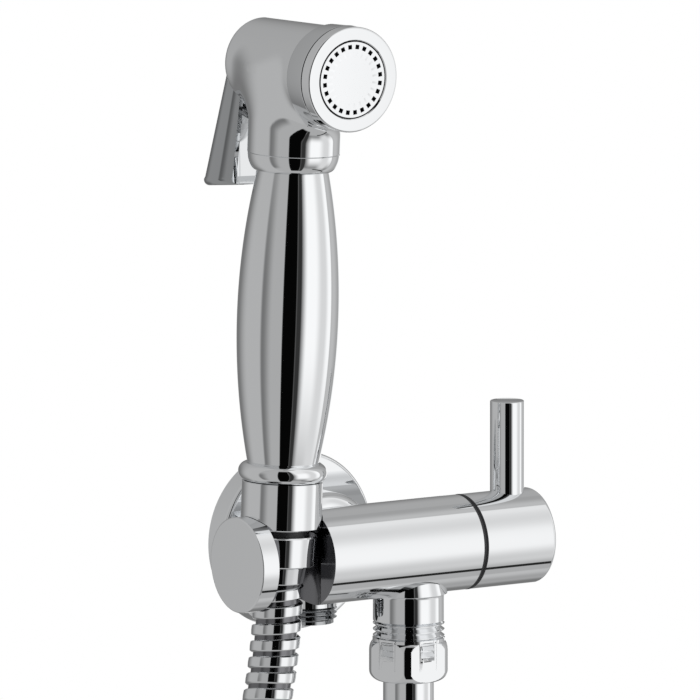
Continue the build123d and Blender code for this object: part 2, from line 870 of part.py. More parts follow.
# Heights in the joint between handset and hose
washerBottom = tailBottom - 0.05 - washerThickness
insertTop = washerBottom - 0.05
hoseTop = hoseNutBottom - ferruleLength


def hoseWasher():
    outer = tailThreadRadius - 0.2
    return lean(tubeZ(outer, washerBore, washerBottom, washerBottom + washerThickness))


def hoseInsert():
    return lean(coupling(insertTop, insertTop - hoseNutBottom, insertNeckRadius))


def hoseNut():
    """The tapered nut of the hose, which stands in the holder's bore."""
    ledgeTop = hoseNutBottom + hoseNutLedge
    nut = turned([
        (insertNeckRadius + slideGap, hoseNutBottom),
        (hoseNutBottomRadius - 0.3, hoseNutBottom),
        (hoseNutBottomRadius, hoseNutBottom + 0.3),
        (hoseNutTopRadius, hoseNutTop - 0.3),
        (hoseNutTopRadius - 0.3, hoseNutTop),
        (tailThreadRadius + slideGap, hoseNutTop),
        (tailThreadRadius + slideGap, ledgeTop),
        (insertNeckRadius + slideGap, ledgeTop),
    ])
    return lean(nut)


def hoseFerrule():
    ferrule = turned([
        (insertSpigotRadius + runGap, hoseTop),
        (ferruleBottomRadius, hoseTop),
        (ferruleTopRadius, hoseNutBottom - 0.4),
        (ferruleTopRadius - 0.4, hoseNutBottom),
        (insertSpigotRadius + runGap, hoseNutBottom),
    ])
    return lean(ferrule)


def coilPoint(turn):
    """A point of the coil and its direction; turn counts whole turns from the start."""
    angle = math.radians(coilStart + 360 * turn)
    late = max(0.0, turn - (coilTurns - 0.25)) * 4
    runOff = coilRunOff * late * late * (3 - 2 * late)
    slope = coilRunOff * 6 * late * (1 - late) * 4
    y = coilY - coilPitch * turn - runOff
    point = Vector(coilX + coilRadius * math.cos(angle), y, coilZ + coilRadius * math.sin(angle))
    speed = 2 * math.pi * coilRadius
    direction = Vector(-speed * math.sin(angle), -coilPitch - slope, speed * math.cos(angle))
    return point, direction.normalized()


def hoseRoute():
    """Corner points of the stretch that hangs between the handset and the coil."""
    start = lean(Pos(0, 0, hoseTop)).position
    below = lean(Pos(0, 0, hoseTop - hoseStraight)).position
    end, direction = coilPoint(0)
    return [
        start,
        below,
        Vector(-32.0, -37.5, -48.0),
        Vector(-37.5, -42.0, -73.0),
        Vector(-41.3, -48.3, -96.0),
        end - direction * hoseStraight,
        end,
    ]


def routeRadii(points):
    radii = []
    for before, corner, after in zip(points, points[1:], points[2:]):
        shorter = min((corner - before).length, (after - corner).length)
        half = (corner - before).get_angle(after - corner) / 2
        radii.append(0.45 * shorter / math.tan(math.radians(half)))
    return radii


def hoseDrop():
    """Ribbed hose: raised bands between grooves, as a ruled loft through circles, with its bore."""
    points = hoseRoute()
    radii = routeRadii(points)
    print("hose drop radii", [round(radius, 1) for radius in radii])
    path = FilletPolyline(*points, radius=radii)
    length = path.length
    ribs = round(length / hosePitch)
    pitch = length / ribs
    groove = pitch - hoseBand
    stations = []
    for rib in range(ribs):
        s = rib * pitch
        stations.append((s, hoseRadius))
        stations.append((s + hoseBand - hoseStep, hoseRadius))
        stations.append((s + hoseBand, hoseGroove))
        stations.append((s + hoseBand + groove - hoseStep, hoseGroove))
    stations.append((length, hoseRadius))
    circles = []
    for s, radius in stations:
        place = path.position_at(s / length)
        ahead = path.tangent_at(s / length)
        circles.append(Plane(origin=place, x_dir=(1, 0, 0), z_dir=ahead) * Circle(radius))
    hose = loft(circles, ruled=True)
    bore = sweep(Plane(origin=path @ 0, z_dir=path % 0) * Circle(hoseBore), path=path)
    hose = hose - bore
    bands = math.pi * hoseRadius**2 * hoseBand / pitch
    grooves = math.pi * hoseGroove**2 * groove / pitch
    expected = (bands + grooves - math.pi * hoseBore**2) * length
    print("hose drop", round(length, 1), "mm,", ribs, "ribs, volume", round(hose.volume), round(expected))
    return hose


def biarc(start, startDirection, end, endDirection):
    """Two arcs that leave start and reach end along the given directions."""
    chord = end - start
    both = startDirection + endDirection
    spread = 2 * (1 - startDirection.dot(endDirection))
    along = chord.dot(both)
    reach = (math.sqrt(along**2 + spread * chord.dot(chord)) - along) / spread
    first = start + startDirection * reach
    last = end - endDirection * reach
    middle = (first + last) * 0.5
    return [
        TangentArc(start, middle, tangent=startDirection),
        TangentArc(middle, end, tangent=last - first),
    ]


def hoseCoil():
    """The stored length, as loops that step forward by a little more than the hose's width."""
    steps = round(coilTurns * 4)
    edges = []
    for step in range(steps):
        start, startDirection = coilPoint(step / 4)
        end, endDirection = coilPoint((step + 1) / 4)
        edges += biarc(start, startDirection, end, endDirection)
    path = Wire(edges)
    start, direction = coilPoint(0)
    coil = sweep(Plane(origin=start, z_dir=direction) * Circle(hoseRadius), path=path)
    samples = [path.position_at(i / 600) for i in range(601)]
    spacing = path.length / 600
    apart = int(4 * hoseRadius / spacing) + 1
    closest = min(
        (samples[i] - samples[j]).length for i in range(601) for j in range(i + apart, 601)
    )
    print("coil", round(path.length, 1), "mm, least gap to itself", round(closest - 2 * hoseRadius, 2))
    print("coil volume", round(coil.volume), round(math.pi * hoseRadius**2 * path.length))
    return coil


def coilTies():
    """Two straps, each round the turns that lie side by side."""
    ties = []
    for angle in tieAngles:
        turn = (angle - coilStart) / 360
        first, direction = coilPoint(turn)
        second, ignored = coilPoint(turn + 1)
        middle = (first + second) * 0.5
        inner = hoseRadius + tieGap
        outer = inner + tieThickness
        across = abs(second.Y - first.Y)
        plane = Plane(origin=middle, x_dir=(0, 1, 0), z_dir=direction)
        band = SlotOverall(across + 2 * outer, 2 * outer) - SlotOverall(across + 2 * inner, 2 * inner)
        ties.append(extrude(plane * band, tieWidth / 2, both=True))
    return Compound(children=ties)


def farFrame():
    """The plane at the hose's free end, looking along the hose."""
    end, direction = coilPoint(coilTurns)
    return Plane(origin=end, x_dir=(0, 1, 0), z_dir=direction)


def farFerrule():
    ferrule = turned([
        (insertSpigotRadius + runGap, 0),
        (hoseRadius, 0),
        (farFerruleRadius, 1.0),
        (farFerruleRadius, ferruleLength - 0.4),
        (farFerruleRadius - 0.4, ferruleLength),
        (insertSpigotRadius + runGap, ferruleLength),
    ])
    return farFrame().location * ferrule


def farInsert():
    insert = cylinderZ(insertNeckRadius, ferruleLength, farFlangeTop - insertFlangeThickness)
    insert += cylinderZ(farNutRelief - slideGap, farFlangeTop - insertFlangeThickness, farFlangeTop)
    insert += cylinderZ(insertSpigotRadius, 0, ferruleLength)
    return farFrame().location * (insert - cylinderZ(insertBore, -1, farFlangeTop + 1))


def farNut():
    hexagon = RegularPolygon(farNutFlats / 2, 6, major_radius=False)
    nut = Pos(0, 0, ferruleLength) * extrude(hexagon, farNutLength)
    corner = farNutFlats / 2 / math.cos(math.radians(30))
    rim = farNutFlats / 2 + 0.2
    dress = turned([
        (0, 0),
        (rim, 0),
        (corner + 0.1, farNutEdge),
        (corner + 0.1, farNutLength - farNutEdge),
        (rim, farNutLength),
        (0, farNutLength),
    ])
    nut = nut & (Pos(0, 0, ferruleLength) * dress)
    nut -= cylinderZ(insertNeckRadius + slideGap, ferruleLength - 1, ferruleLength + farNutLength)
    nut -= cylinderZ(farNutRelief, farLedgeTop, farWasherTop + slideGap)
    nut -= cylinderZ(farNutMinor, farLedgeTop, ferruleLength + farNutLength + 1)
    return farFrame().location * nut


def farWasher():
    outer = farNutRelief - slideGap
    return farFrame().location * tubeZ(outer, washerBore, farWasherTop - washerThickness, farWasherTop)


pieces = {
    "wall_plate": wallPlate,
    "wall_flange": wallFlange,
    "arm_set_screw": armSetScrew,
    "valve_body": valveBody,
    "seat_seal": seatSeal,
    "fixed_disc": lambda: portedDisc(fixedDiscX, fixedDiscX + discThickness, 0),
    "cartridge_body": cartridgeBody,
    "cartridge_seal": lambda: ringSeal(cavityRadius - ringSection - runGap, ringSection, cartridgeSealX),
    "joint_ring": jointRing,
    "compression_nut": compressionNut,
    "olive": olive,
    "supply_pipe": supplyPipe,
    "turning_disc": lambda: portedDisc(turningDiscX, turningDiscX + discThickness, 90),
    "spindle": spindle,
    "spindle_seal": lambda: ringSeal(spindleRadius - ringSection - runGap, ringSection, spindleSealX),
    "retaining_clip": retainingClip,
    "tap_handle": tapHandle,
    "lever_pin": leverPin,
    "handle_screw": handleScrew,
    "handle_cap": handleCap,
    "handset_tail": handsetTail,
    "holder_sleeve": holderSleeve,
    "ring_collar": ringCollar,
    "grip_shell": gripShell,
    "water_tube": waterTube,
    "neck_collar": neckCollar,
    "head_body": headBody,
    "cap_ring": capRing,
    "face_ring": faceRing,
    "spray_plate": sprayPlate,
    "plate_seal": plateSeal,
    "valve_cage": valveCage,
    "stem_seal": stemSeal,
    "valve_spring": valveSpring,
    "valve_plunger": valvePlunger,
    "plunger_seal": plungerSeal,
    "trigger_pin": triggerPin,
    "trigger_lever": triggerLever,
    "hose_washer": hoseWasher,
    "hose_insert": hoseInsert,
    "hose_nut": hoseNut,
    "hose_ferrule": hoseFerrule,
    "hose_drop": hoseDrop,
    "hose_coil": hoseCoil,
    "coil_ties": coilTies,
    "far_ferrule": farFerrule,
    "far_insert": farInsert,
    "far_nut": farNut,
    "far_washer": farWasher,
}

os.makedirs("parts", exist_ok=True)
for node, make in pieces.items():
    export_step(make(), f"parts/{node}.step")
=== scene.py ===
import bpy
import json
import math
import numpy as np
from mathutils import Matrix, Vector


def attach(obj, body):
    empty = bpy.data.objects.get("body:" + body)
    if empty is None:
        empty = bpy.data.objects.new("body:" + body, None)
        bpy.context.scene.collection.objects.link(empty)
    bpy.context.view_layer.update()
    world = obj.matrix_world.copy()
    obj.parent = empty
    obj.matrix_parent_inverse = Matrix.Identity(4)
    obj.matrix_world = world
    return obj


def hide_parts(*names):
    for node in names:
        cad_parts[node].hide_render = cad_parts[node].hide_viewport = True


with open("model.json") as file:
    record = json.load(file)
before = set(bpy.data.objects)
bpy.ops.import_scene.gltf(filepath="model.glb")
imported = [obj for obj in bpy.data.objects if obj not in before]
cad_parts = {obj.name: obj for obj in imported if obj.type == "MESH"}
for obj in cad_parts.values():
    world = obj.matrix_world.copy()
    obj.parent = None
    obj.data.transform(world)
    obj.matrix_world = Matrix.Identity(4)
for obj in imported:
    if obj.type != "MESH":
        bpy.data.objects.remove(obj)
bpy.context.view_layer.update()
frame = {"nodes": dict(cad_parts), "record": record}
print("frame loaded")

mm = 0.001
axisY = -36  # the tap's axis, in mm out from the wall


# camera: a long lens, level, a little above the tap and to its left

view = {
    "yaw": 33.6, "elevation": 8.7, "distance": 8.0, "aim": (-0.56 * mm, axisY * mm, 59.9 * mm), "pixelsPerMm": 3.44,
    "width": 700, "sensor": 36, "clipEnd": 50,
}


def addCamera():
    yaw = math.radians(view["yaw"])
    rise = math.radians(view["elevation"])
    back = Vector((-math.sin(yaw) * math.cos(rise), -math.cos(yaw) * math.cos(rise), math.sin(rise)))
    aim = Vector(view["aim"])
    bpy.ops.object.camera_add(location=aim + back * view["distance"])
    camera = bpy.context.object
    camera.rotation_euler = (-back).to_track_quat("-Z", "Y").to_euler()
    camera.data.sensor_width = view["sensor"]
    camera.data.lens = view["sensor"] * view["pixelsPerMm"] * view["distance"] / mm / view["width"]
    camera.data.clip_end = view["clipEnd"]
    bpy.context.scene.camera = camera


addCamera()
print("camera set")


# placing: where each group of pieces has its own axis

handset = {"x": -25.1, "lean": 2.4}


def toWall():
    return Matrix.Rotation(math.radians(90), 4, "X")


def alongBody():
    return Matrix.Translation((0, axisY * mm, 0)) @ Matrix.Rotation(math.radians(90), 4, "Y")


def upright(x, y):
    return Matrix.Translation((x * mm, y * mm, 0))


def inHandset():
    foot = Matrix.Translation((handset["x"] * mm, axisY * mm, 0))
    return foot @ Matrix.Rotation(math.radians(handset["lean"]), 4, "Y")


def alongBarrel():
    return inHandset() @ Matrix.Translation((0, 0, head["barrelZ"] * mm)) @ toWall()


# modelling steps that many pieces share

def clearSelection():
    if bpy.context.object and bpy.context.object.mode != "OBJECT":
        bpy.ops.object.mode_set(mode="OBJECT")
    bpy.ops.object.select_all(action="DESELECT")


def pick(piece):
    clearSelection()
    piece.select_set(True)
    bpy.context.view_layer.objects.active = piece


def roundCorner(centre, radius, start, end, steps=8):
    # points of a round corner, angles in degrees from the outward direction
    points = []
    for step in range(steps + 1):
        angle = math.radians(start + (end - start) * step / steps)
        points.append((centre[0] + radius * math.cos(angle), centre[1] + radius * math.sin(angle)))
    return points


def turnedPiece(name, outline, steps=256, closed=True):
    # one vertex drawn along the outline of radius and height in mm, then spun round Z
    clearSelection()
    bpy.ops.mesh.primitive_plane_add(size=mm)
    piece = bpy.context.object
    piece.name = name
    bpy.ops.object.mode_set(mode="EDIT")
    bpy.ops.mesh.select_all(action="SELECT")
    bpy.ops.mesh.merge(type="CENTER")
    bpy.ops.transform.translate(value=(outline[0][0] * mm, 0, outline[0][1] * mm))
    points = list(outline)
    if closed:
        points.append(outline[0])
    for before, after in zip(points, points[1:]):
        step = ((after[0] - before[0]) * mm, 0, (after[1] - before[1]) * mm)
        bpy.ops.mesh.extrude_region_move(TRANSFORM_OT_translate={"value": step})
    bpy.ops.mesh.select_all(action="SELECT")
    bpy.ops.mesh.remove_doubles(threshold=0.001 * mm)
    bpy.ops.mesh.spin(steps=steps, angle=2 * math.pi, center=(0, 0, 0), axis=(0, 0, 1))
    bpy.ops.mesh.select_all(action="SELECT")
    bpy.ops.mesh.remove_doubles(threshold=0.001 * mm)
    bpy.ops.mesh.normals_make_consistent(inside=False)
    bpy.ops.object.mode_set(mode="OBJECT")
    return piece


def setDown(piece, matrix):
    pick(piece)
    piece.matrix_world = matrix @ piece.matrix_world
    bpy.ops.object.transform_apply(location=True, rotation=True, scale=True)


def smoothFaces(piece, angle=30):
    pick(piece)
    bpy.ops.object.shade_smooth_by_angle(angle=math.radians(angle))
    bpy.ops.object.modifier_add(type="WEIGHTED_NORMAL")
    piece.modifiers[-1].keep_sharp = True
    piece.modifiers[-1].weight = 100
    bpy.ops.object.modifier_apply(modifier=piece.modifiers[-1].name)


def cutOut(piece, cutter, operation="DIFFERENCE"):
    pick(piece)
    bpy.ops.object.modifier_add(type="BOOLEAN")
    change = piece.modifiers[-1]
    change.operation = operation
    change.solver = "EXACT"
    change.object = cutter
    bpy.ops.object.modifier_apply(modifier=change.name)
    bpy.data.objects.remove(cutter)


def roundBar(radius, low, high, steps=192):
    clearSelection()
    bpy.ops.mesh.primitive_cylinder_add(
        vertices=steps, radius=radius * mm, depth=(high - low) * mm, location=(0, 0, (low + high) / 2 * mm)
    )
    bar = bpy.context.object
    pick(bar)
    bpy.ops.object.transform_apply(location=True, rotation=True, scale=True)
    return bar


def block(size, centre):
    clearSelection()
    bpy.ops.mesh.primitive_cube_add(size=1, location=[v * mm for v in centre])
    cube = bpy.context.object
    cube.scale = [v * mm for v in size]
    pick(cube)
    bpy.ops.object.transform_apply(location=True, rotation=True, scale=True)
    return cube


def dress(piece, material, slot, body, *nodes):
    piece.data.materials.clear()
    piece.data.materials.append(material)
    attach(piece, body)
    if nodes:
        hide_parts(*nodes)


def dressFaces(piece, material, chosen, toGroup=None):
    # a second finish on the faces chosen by their centre in mm, in a group's own axes where asked, and normal
    piece.data.materials.append(material)
    last = len(piece.data.materials) - 1
    for face in piece.data.polygons:
        centre = face.center / mm
        if toGroup is not None:
            centre = toGroup @ (centre * mm) / mm
        if chosen(centre, face.normal):
            face.material_index = last


def turnedPart(name, outline, steps, place, body, node, closed=True, material=None):
    piece = turnedPiece(name, outline, steps, closed)
    setDown(piece, place)
    smoothFaces(piece)
    dress(piece, material or finishes["chrome"], "chrome", body, node)
    return piece


# finishes

def newMaterial(name):
    material = bpy.data.materials.new(name)
    material.use_nodes = True
    return material, material.node_tree.nodes, material.node_tree.links


def metalFinish(name, colour, rough, spread, grain, bump=0.0, stretch=(1, 1, 1)):
    # plated or bare metal: roughness drifts over the surface, with a faint waviness where asked
    material, nodes, links = newMaterial(name)
    surface = nodes["Principled BSDF"]
    surface.inputs["Metallic"].default_value = 1.0
    surface.inputs["Base Color"].default_value = (*colour, 1)
    place = nodes.new("ShaderNodeTexCoord")
    mapping = nodes.new("ShaderNodeMapping")
    mapping.inputs["Scale"].default_value = stretch
    noise = nodes.new("ShaderNodeTexNoise")
    noise.inputs["Scale"].default_value = grain
    noise.inputs["Detail"].default_value = 4
    drift = nodes.new("ShaderNodeMapRange")
    drift.inputs["To Min"].default_value = rough - spread
    drift.inputs["To Max"].default_value = rough + spread
    links.new(place.outputs["Object"], mapping.inputs["Vector"])
    links.new(mapping.outputs["Vector"], noise.inputs["Vector"])
    links.new(noise.outputs["Fac"], drift.inputs["Value"])
    links.new(drift.outputs["Result"], surface.inputs["Roughness"])
    if bump:
        relief = nodes.new("ShaderNodeBump")
        relief.inputs["Strength"].default_value = bump
        relief.inputs["Distance"].default_value = 0.05 * mm
        links.new(noise.outputs["Fac"], relief.inputs["Height"])
        links.new(relief.outputs["Normal"], surface.inputs["Normal"])
    return material


def mouldedFinish(name, dark, pale, rough, grain):
    # rubber, nylon, ceramic: two near shades mixed by a fine noise, with a slight relief
    material, nodes, links = newMaterial(name)
    surface = nodes["Principled BSDF"]
    surface.inputs["Roughness"].default_value = rough
    place = nodes.new("ShaderNodeTexCoord")
    noise = nodes.new("ShaderNodeTexNoise")
    noise.inputs["Scale"].default_value = grain
    noise.inputs["Detail"].default_value = 3
    shades = nodes.new("ShaderNodeValToRGB")
    shades.color_ramp.elements[0].color = (*dark, 1)
    shades.color_ramp.elements[1].color = (*pale, 1)
    relief = nodes.new("ShaderNodeBump")
    relief.inputs["Strength"].default_value = 0.15
    relief.inputs["Distance"].default_value = 0.05 * mm
    links.new(place.outputs["Object"], noise.inputs["Vector"])
    links.new(noise.outputs["Fac"], shades.inputs["Fac"])
    links.new(shades.outputs["Color"], surface.inputs["Base Color"])
    links.new(noise.outputs["Fac"], relief.inputs["Height"])
    links.new(relief.outputs["Normal"], surface.inputs["Normal"])
    return material


finishes = {
    "chrome": metalFinish("polished chrome", (0.84, 0.85, 0.86), 0.03, 0.012, 60),
    "hose_steel": metalFinish("bright hose steel", (0.80, 0.81, 0.82), 0.055, 0.02, 300),
    "brass": metalFinish("turned brass", (0.78, 0.60, 0.32), 0.22, 0.06, 400, 0.2),
    "steel": metalFinish("turned steel", (0.62, 0.63, 0.64), 0.28, 0.08, 500, 0.2),
    "plate_steel": metalFinish("bright plate steel", (0.86, 0.87, 0.88), 0.12, 0.02, 200),
    "ceramic": mouldedFinish("ground ceramic", (0.86, 0.85, 0.81), (0.92, 0.91, 0.88), 0.35, 900),
    "rubber": mouldedFinish("seal rubber", (0.018, 0.018, 0.02), (0.035, 0.035, 0.038), 0.65, 700),
    "black_plastic": mouldedFinish("black nylon", (0.016, 0.016, 0.018), (0.03, 0.03, 0.033), 0.4, 600),
    "white_plastic": mouldedFinish("white moulded tube", (0.76, 0.76, 0.74), (0.84, 0.84, 0.82), 0.45, 500),
}
# a near-black copy of the chrome: painted shade for the tap body's slot walls and the hose's grooves
recessShadeChrome = metalFinish("recess painted shade", (0.20, 0.20, 0.21), 0.16, 0.04, 200)
# a darker copy of the chrome: painted shade for the outlet thread under the arm and the trigger's sides
castShadeChrome = metalFinish("casting painted shade", (0.45, 0.46, 0.47), 0.055, 0.02, 90, 0.1)
ringChrome = metalFinish("fine turned ring", (0.70, 0.71, 0.72), 0.07, 0.03, 180, 0.1)
print("finishes made")


# hose: hangs from the handset and ends in a tied coil below the picture

hose = {
    "radius": 7.3 * mm,
    "bore": 5.0 * mm,
    "pitch": 4.94 * mm,
    "sides": 48,
    "route": [
        (-0.02536, -0.036, -0.00629),
        (-0.02612, -0.036, -0.02428),
        (-0.0320, -0.0375, -0.0480),
        (-0.0375, -0.0420, -0.0730),
        (-0.0413, -0.0483, -0.0960),
        (-0.0425, -0.05193, -0.11801),
        (-0.0425, -0.0525, -0.1360),
    ],
    "coilCentre": (0.0343, -0.0525, -0.1360),
    "coilRadius": 0.0768,
    "coilPitch": 0.0153,
    "coilRunOff": 0.0055,
    "turns": 1.75,
    "pointsPerTurn": 16,
    "profile": ((0.0, 6.85), (0.3, 7.22), (1.63, 7.3), (2.95, 7.22), (3.25, 6.85), (3.4, 6.15), (4.8, 6.15)),
}


def coilPoints():
    points = []
    centre = hose["coilCentre"]
    steps = round(hose["turns"] * hose["pointsPerTurn"])
    for step in range(1, steps + 1):
        turn = step / hose["pointsPerTurn"]
        angle = math.radians(180 + 360 * turn)
        late = max(0.0, turn - (hose["turns"] - 0.25)) * 4
        runOff = hose["coilRunOff"] * late * late * (3 - 2 * late)
        x = centre[0] + hose["coilRadius"] * math.cos(angle)
        y = centre[1] - hose["coilPitch"] * turn - runOff
        z = centre[2] + hose["coilRadius"] * math.sin(angle)
        points.append((x, y, z))
    return points


def smoothPath(points):
    curve = bpy.data.curves.new("hosePath", "CURVE")
    curve.dimensions = "3D"
    curve.resolution_u = 30
    spline = curve.splines.new("NURBS")
    spline.points.add(len(points) - 1)
    for knot, point in zip(spline.points, points):
        knot.co = (*point, 1)
    spline.order_u = 3
    spline.use_endpoint_u = True
    guide = bpy.data.objects.new("hosePath", curve)
    bpy.context.scene.collection.objects.link(guide)
    bpy.context.view_layer.update()
    line = bpy.data.meshes.new_from_object(guide)
    path = [vertex.co.copy() for vertex in line.vertices]
    bpy.data.objects.remove(guide)
    return path


def makeHose():
    path = np.array([list(point) for point in smoothPath(hose["route"] + coilPoints())])
    runs = np.linalg.norm(np.diff(path, axis=0), axis=1)
    along = np.concatenate([[0], np.cumsum(runs)])
    length = along[-1]
    heading = np.gradient(path, along, axis=0)
    heading /= np.linalg.norm(heading, axis=1)[:, None]
    # a frame that travels along the path without twisting
    sideways = [np.array([1.0, 0.0, 0.0])]
    for ahead in heading[1:]:
        side = sideways[-1] - ahead * np.dot(sideways[-1], ahead)
        sideways.append(side / np.linalg.norm(side))
    sideways = np.array(sideways)

    def ring(s, radius, angle):
        s = np.clip(s, 0, length)
        place = np.stack([np.interp(s, along, path[:, k]) for k in range(3)], axis=-1)
        side = np.stack([np.interp(s, along, sideways[:, k]) for k in range(3)], axis=-1)
        ahead = np.stack([np.interp(s, along, heading[:, k]) for k in range(3)], axis=-1)
        ahead /= np.linalg.norm(ahead, axis=-1)[..., None]
        side -= ahead * np.sum(side * ahead, axis=-1)[..., None]
        side /= np.linalg.norm(side, axis=-1)[..., None]
        third = np.cross(ahead, side)
        turn = side * np.cos(angle)[..., None] + third * np.sin(angle)[..., None]
        return place + turn * radius[..., None]

    sides = hose["sides"]
    angles = 2 * np.pi * np.arange(sides) / sides
    turns = round(length / hose["pitch"])
    pitch = length / turns
    stations = [(turn * pitch + u * mm, radius * mm, radius < 6.5) for turn in range(-1, turns + 1)
                for u, radius in hose["profile"]]
    perTurn = len(hose["profile"])
    s = np.array([station[0] for station in stations])[:, None] + pitch * angles[None, :] / (2 * np.pi)
    radius = np.array([station[1] for station in stations])[:, None] + 0 * s
    outside = (s < 0) | (s > length)
    radius[outside] = hose["radius"] - 0.45 * mm
    verts = ring(s, radius, np.broadcast_to(angles, s.shape))
    faces = []
    rows = len(stations)
    for row in range(rows - 1):
        for side in range(sides - 1):
            a = row * sides + side
            faces.append((a, a + 1, a + sides + 1, a + sides))
    for row in range(rows - perTurn - 1):
        a = row * sides + sides - 1
        b = (row + perTurn) * sides
        faces.append((a, b, b + sides, a + sides))
    # the bore, with a ring at each end that closes the wall
    boreStations = np.linspace(0, length, 120)
    sBore = np.repeat(boreStations[:, None], sides, axis=1)
    inner = ring(sBore, np.full(sBore.shape, hose["bore"]), np.broadcast_to(angles, sBore.shape))
    first = len(s) * sides
    points = np.concatenate([verts.reshape(-1, 3), inner.reshape(-1, 3)])
    for row in range(len(boreStations) - 1):
        for side in range(sides):
            a = first + row * sides + side
            b = first + row * sides + (side + 1) % sides
            faces.append((a, a + sides, b + sides, b))
    lastInner = first + (len(boreStations) - 1) * sides
    for side in range(sides):
        nextSide = (side + 1) % sides
        faces.append((side, first + side, first + nextSide, nextSide))
        a = (rows - 1) * sides
        faces.append((a + side, a + nextSide, lastInner + nextSide, lastInner + side))
    mesh = bpy.data.meshes.new("hose")
    mesh.from_pydata(points.tolist(), [], faces)
    low = np.array([station[2] for station in stations])
    count = (rows - 1) * (sides - 1)
    grooved = np.zeros(len(faces), dtype=np.int32)
    grooved[:count] = np.repeat(low[:-1] & low[1:], sides - 1)
    seamRows = rows - perTurn - 1
    grooved[count:count + seamRows] = low[:seamRows] & low[1:seamRows + 1]
    mesh.attributes.new("groove", "INT", "FACE").data.foreach_set("value", grooved)
    piece = bpy.data.objects.new("hose", mesh)
    bpy.context.scene.collection.objects.link(piece)
    pick(piece)
    bpy.ops.object.mode_set(mode="EDIT")
    bpy.ops.mesh.select_all(action="SELECT")
    bpy.ops.mesh.remove_doubles(threshold=0.002 * mm)
    bpy.ops.mesh.normals_make_consistent(inside=False)
    bpy.ops.object.mode_set(mode="OBJECT")
    bpy.ops.object.shade_smooth_by_angle(angle=math.radians(40))
    return piece, [tuple(point) for point in path[::6]] + [tuple(path[-1])], float(length)


hosePiece, hosePath, hoseLength = makeHose()
dress(hosePiece, finishes["hose_steel"], "hose_steel", "handset", "hose_drop", "hose_coil")
# the groove faces take the near-black chrome: painted shade in the hose's creases
hosePiece.data.materials.append(recessShadeChrome)
for face, groove in zip(hosePiece.data.polygons, hosePiece.data.attributes["groove"].data):
    face.material_index = groove.value
print("hose made, length", round(hoseLength, 4))


# wall rosette

rosette = {"radius": 26.25, "hole": 16.32, "depth": 8.0, "wall": 1.0, "edge": 1.3}


def makeRosette():
    r = rosette
    outline = [(r["hole"], r["depth"] - r["wall"]), (r["hole"], r["depth"] - 0.2), (r["hole"] + 0.2, r["depth"])]
    outline += roundCorner((r["radius"] - r["edge"], r["depth"] - r["edge"]), r["edge"], 90, 0)
    inner = r["radius"] - r["wall"]
    outline += [(r["radius"], 0), (inner, 0), (inner, r["depth"] - r["wall"] - 0.4),
                (inner - 0.4, r["depth"] - r["wall"])]
    turnedPart("rosette", outline, 320, toWall(), "stand", "wall_flange")


makeRosette()
print("rosette made")


# tap body

body = {
    "radius": 14.0, "left": -40.0, "right": 37.5, "edge": 0.45,
    "armRadius": 16.2, "armFront": 26.5, "armBack": 3.0, "armEdge": 4.5,
    "slotLeft": -34.4, "slotRight": -14.8, "lowerBore": 11.6, "seatBore": 12.1, "seatHeight": 10.0,
    "inlet": (20.0, axisY), "outlet": (-4.5, -20.0), "outletTop": -14.5, "jointWall": 0.6, "jointBore": 10,
}
inletSpout = {
    "radius": 10.48, "floor": 9.32, "pitch": 1.814, "plain": -21.2, "end": -33.0, "bore": 7.7, "foot": 0.9,
    "footHeights": (-13.2, -13.55, -14.2),
}
outletSpout = {"radius": 8.33, "floor": 7.47, "pitch": 1.337, "plain": -16.9, "end": -21.9, "bore": 5.2}


def threadedSpout(name, spout):
    radius, floor, pitch, plain, end, bore = (spout[k] for k in ("radius", "floor", "pitch", "plain", "end", "bore"))
    outline = [(bore, 0)]
    if "foot" in spout:
        wide = (radius + spout["foot"], radius + spout["foot"] * 0.3, radius)
        outline += list(zip(wide, spout["footHeights"]))
    else:
        outline += [(radius, 0)]
    outline += [(radius, plain), (floor, plain - 0.35)]
    turns = int((plain - end) / pitch)
    for turn in range(turns):
        top = plain - turn * pitch
        outline += [(radius - 0.12, top - 0.40 * pitch), (radius, top - 0.46 * pitch), (radius, top - 0.54 * pitch),
                    (radius - 0.12, top - 0.60 * pitch), (floor + 0.08, top - 0.94 * pitch), (floor, top - pitch)]
    outline += [(floor, end), (bore + 0.3, end), (bore, end + 0.3)]
    return turnedPiece(name, outline, 256)


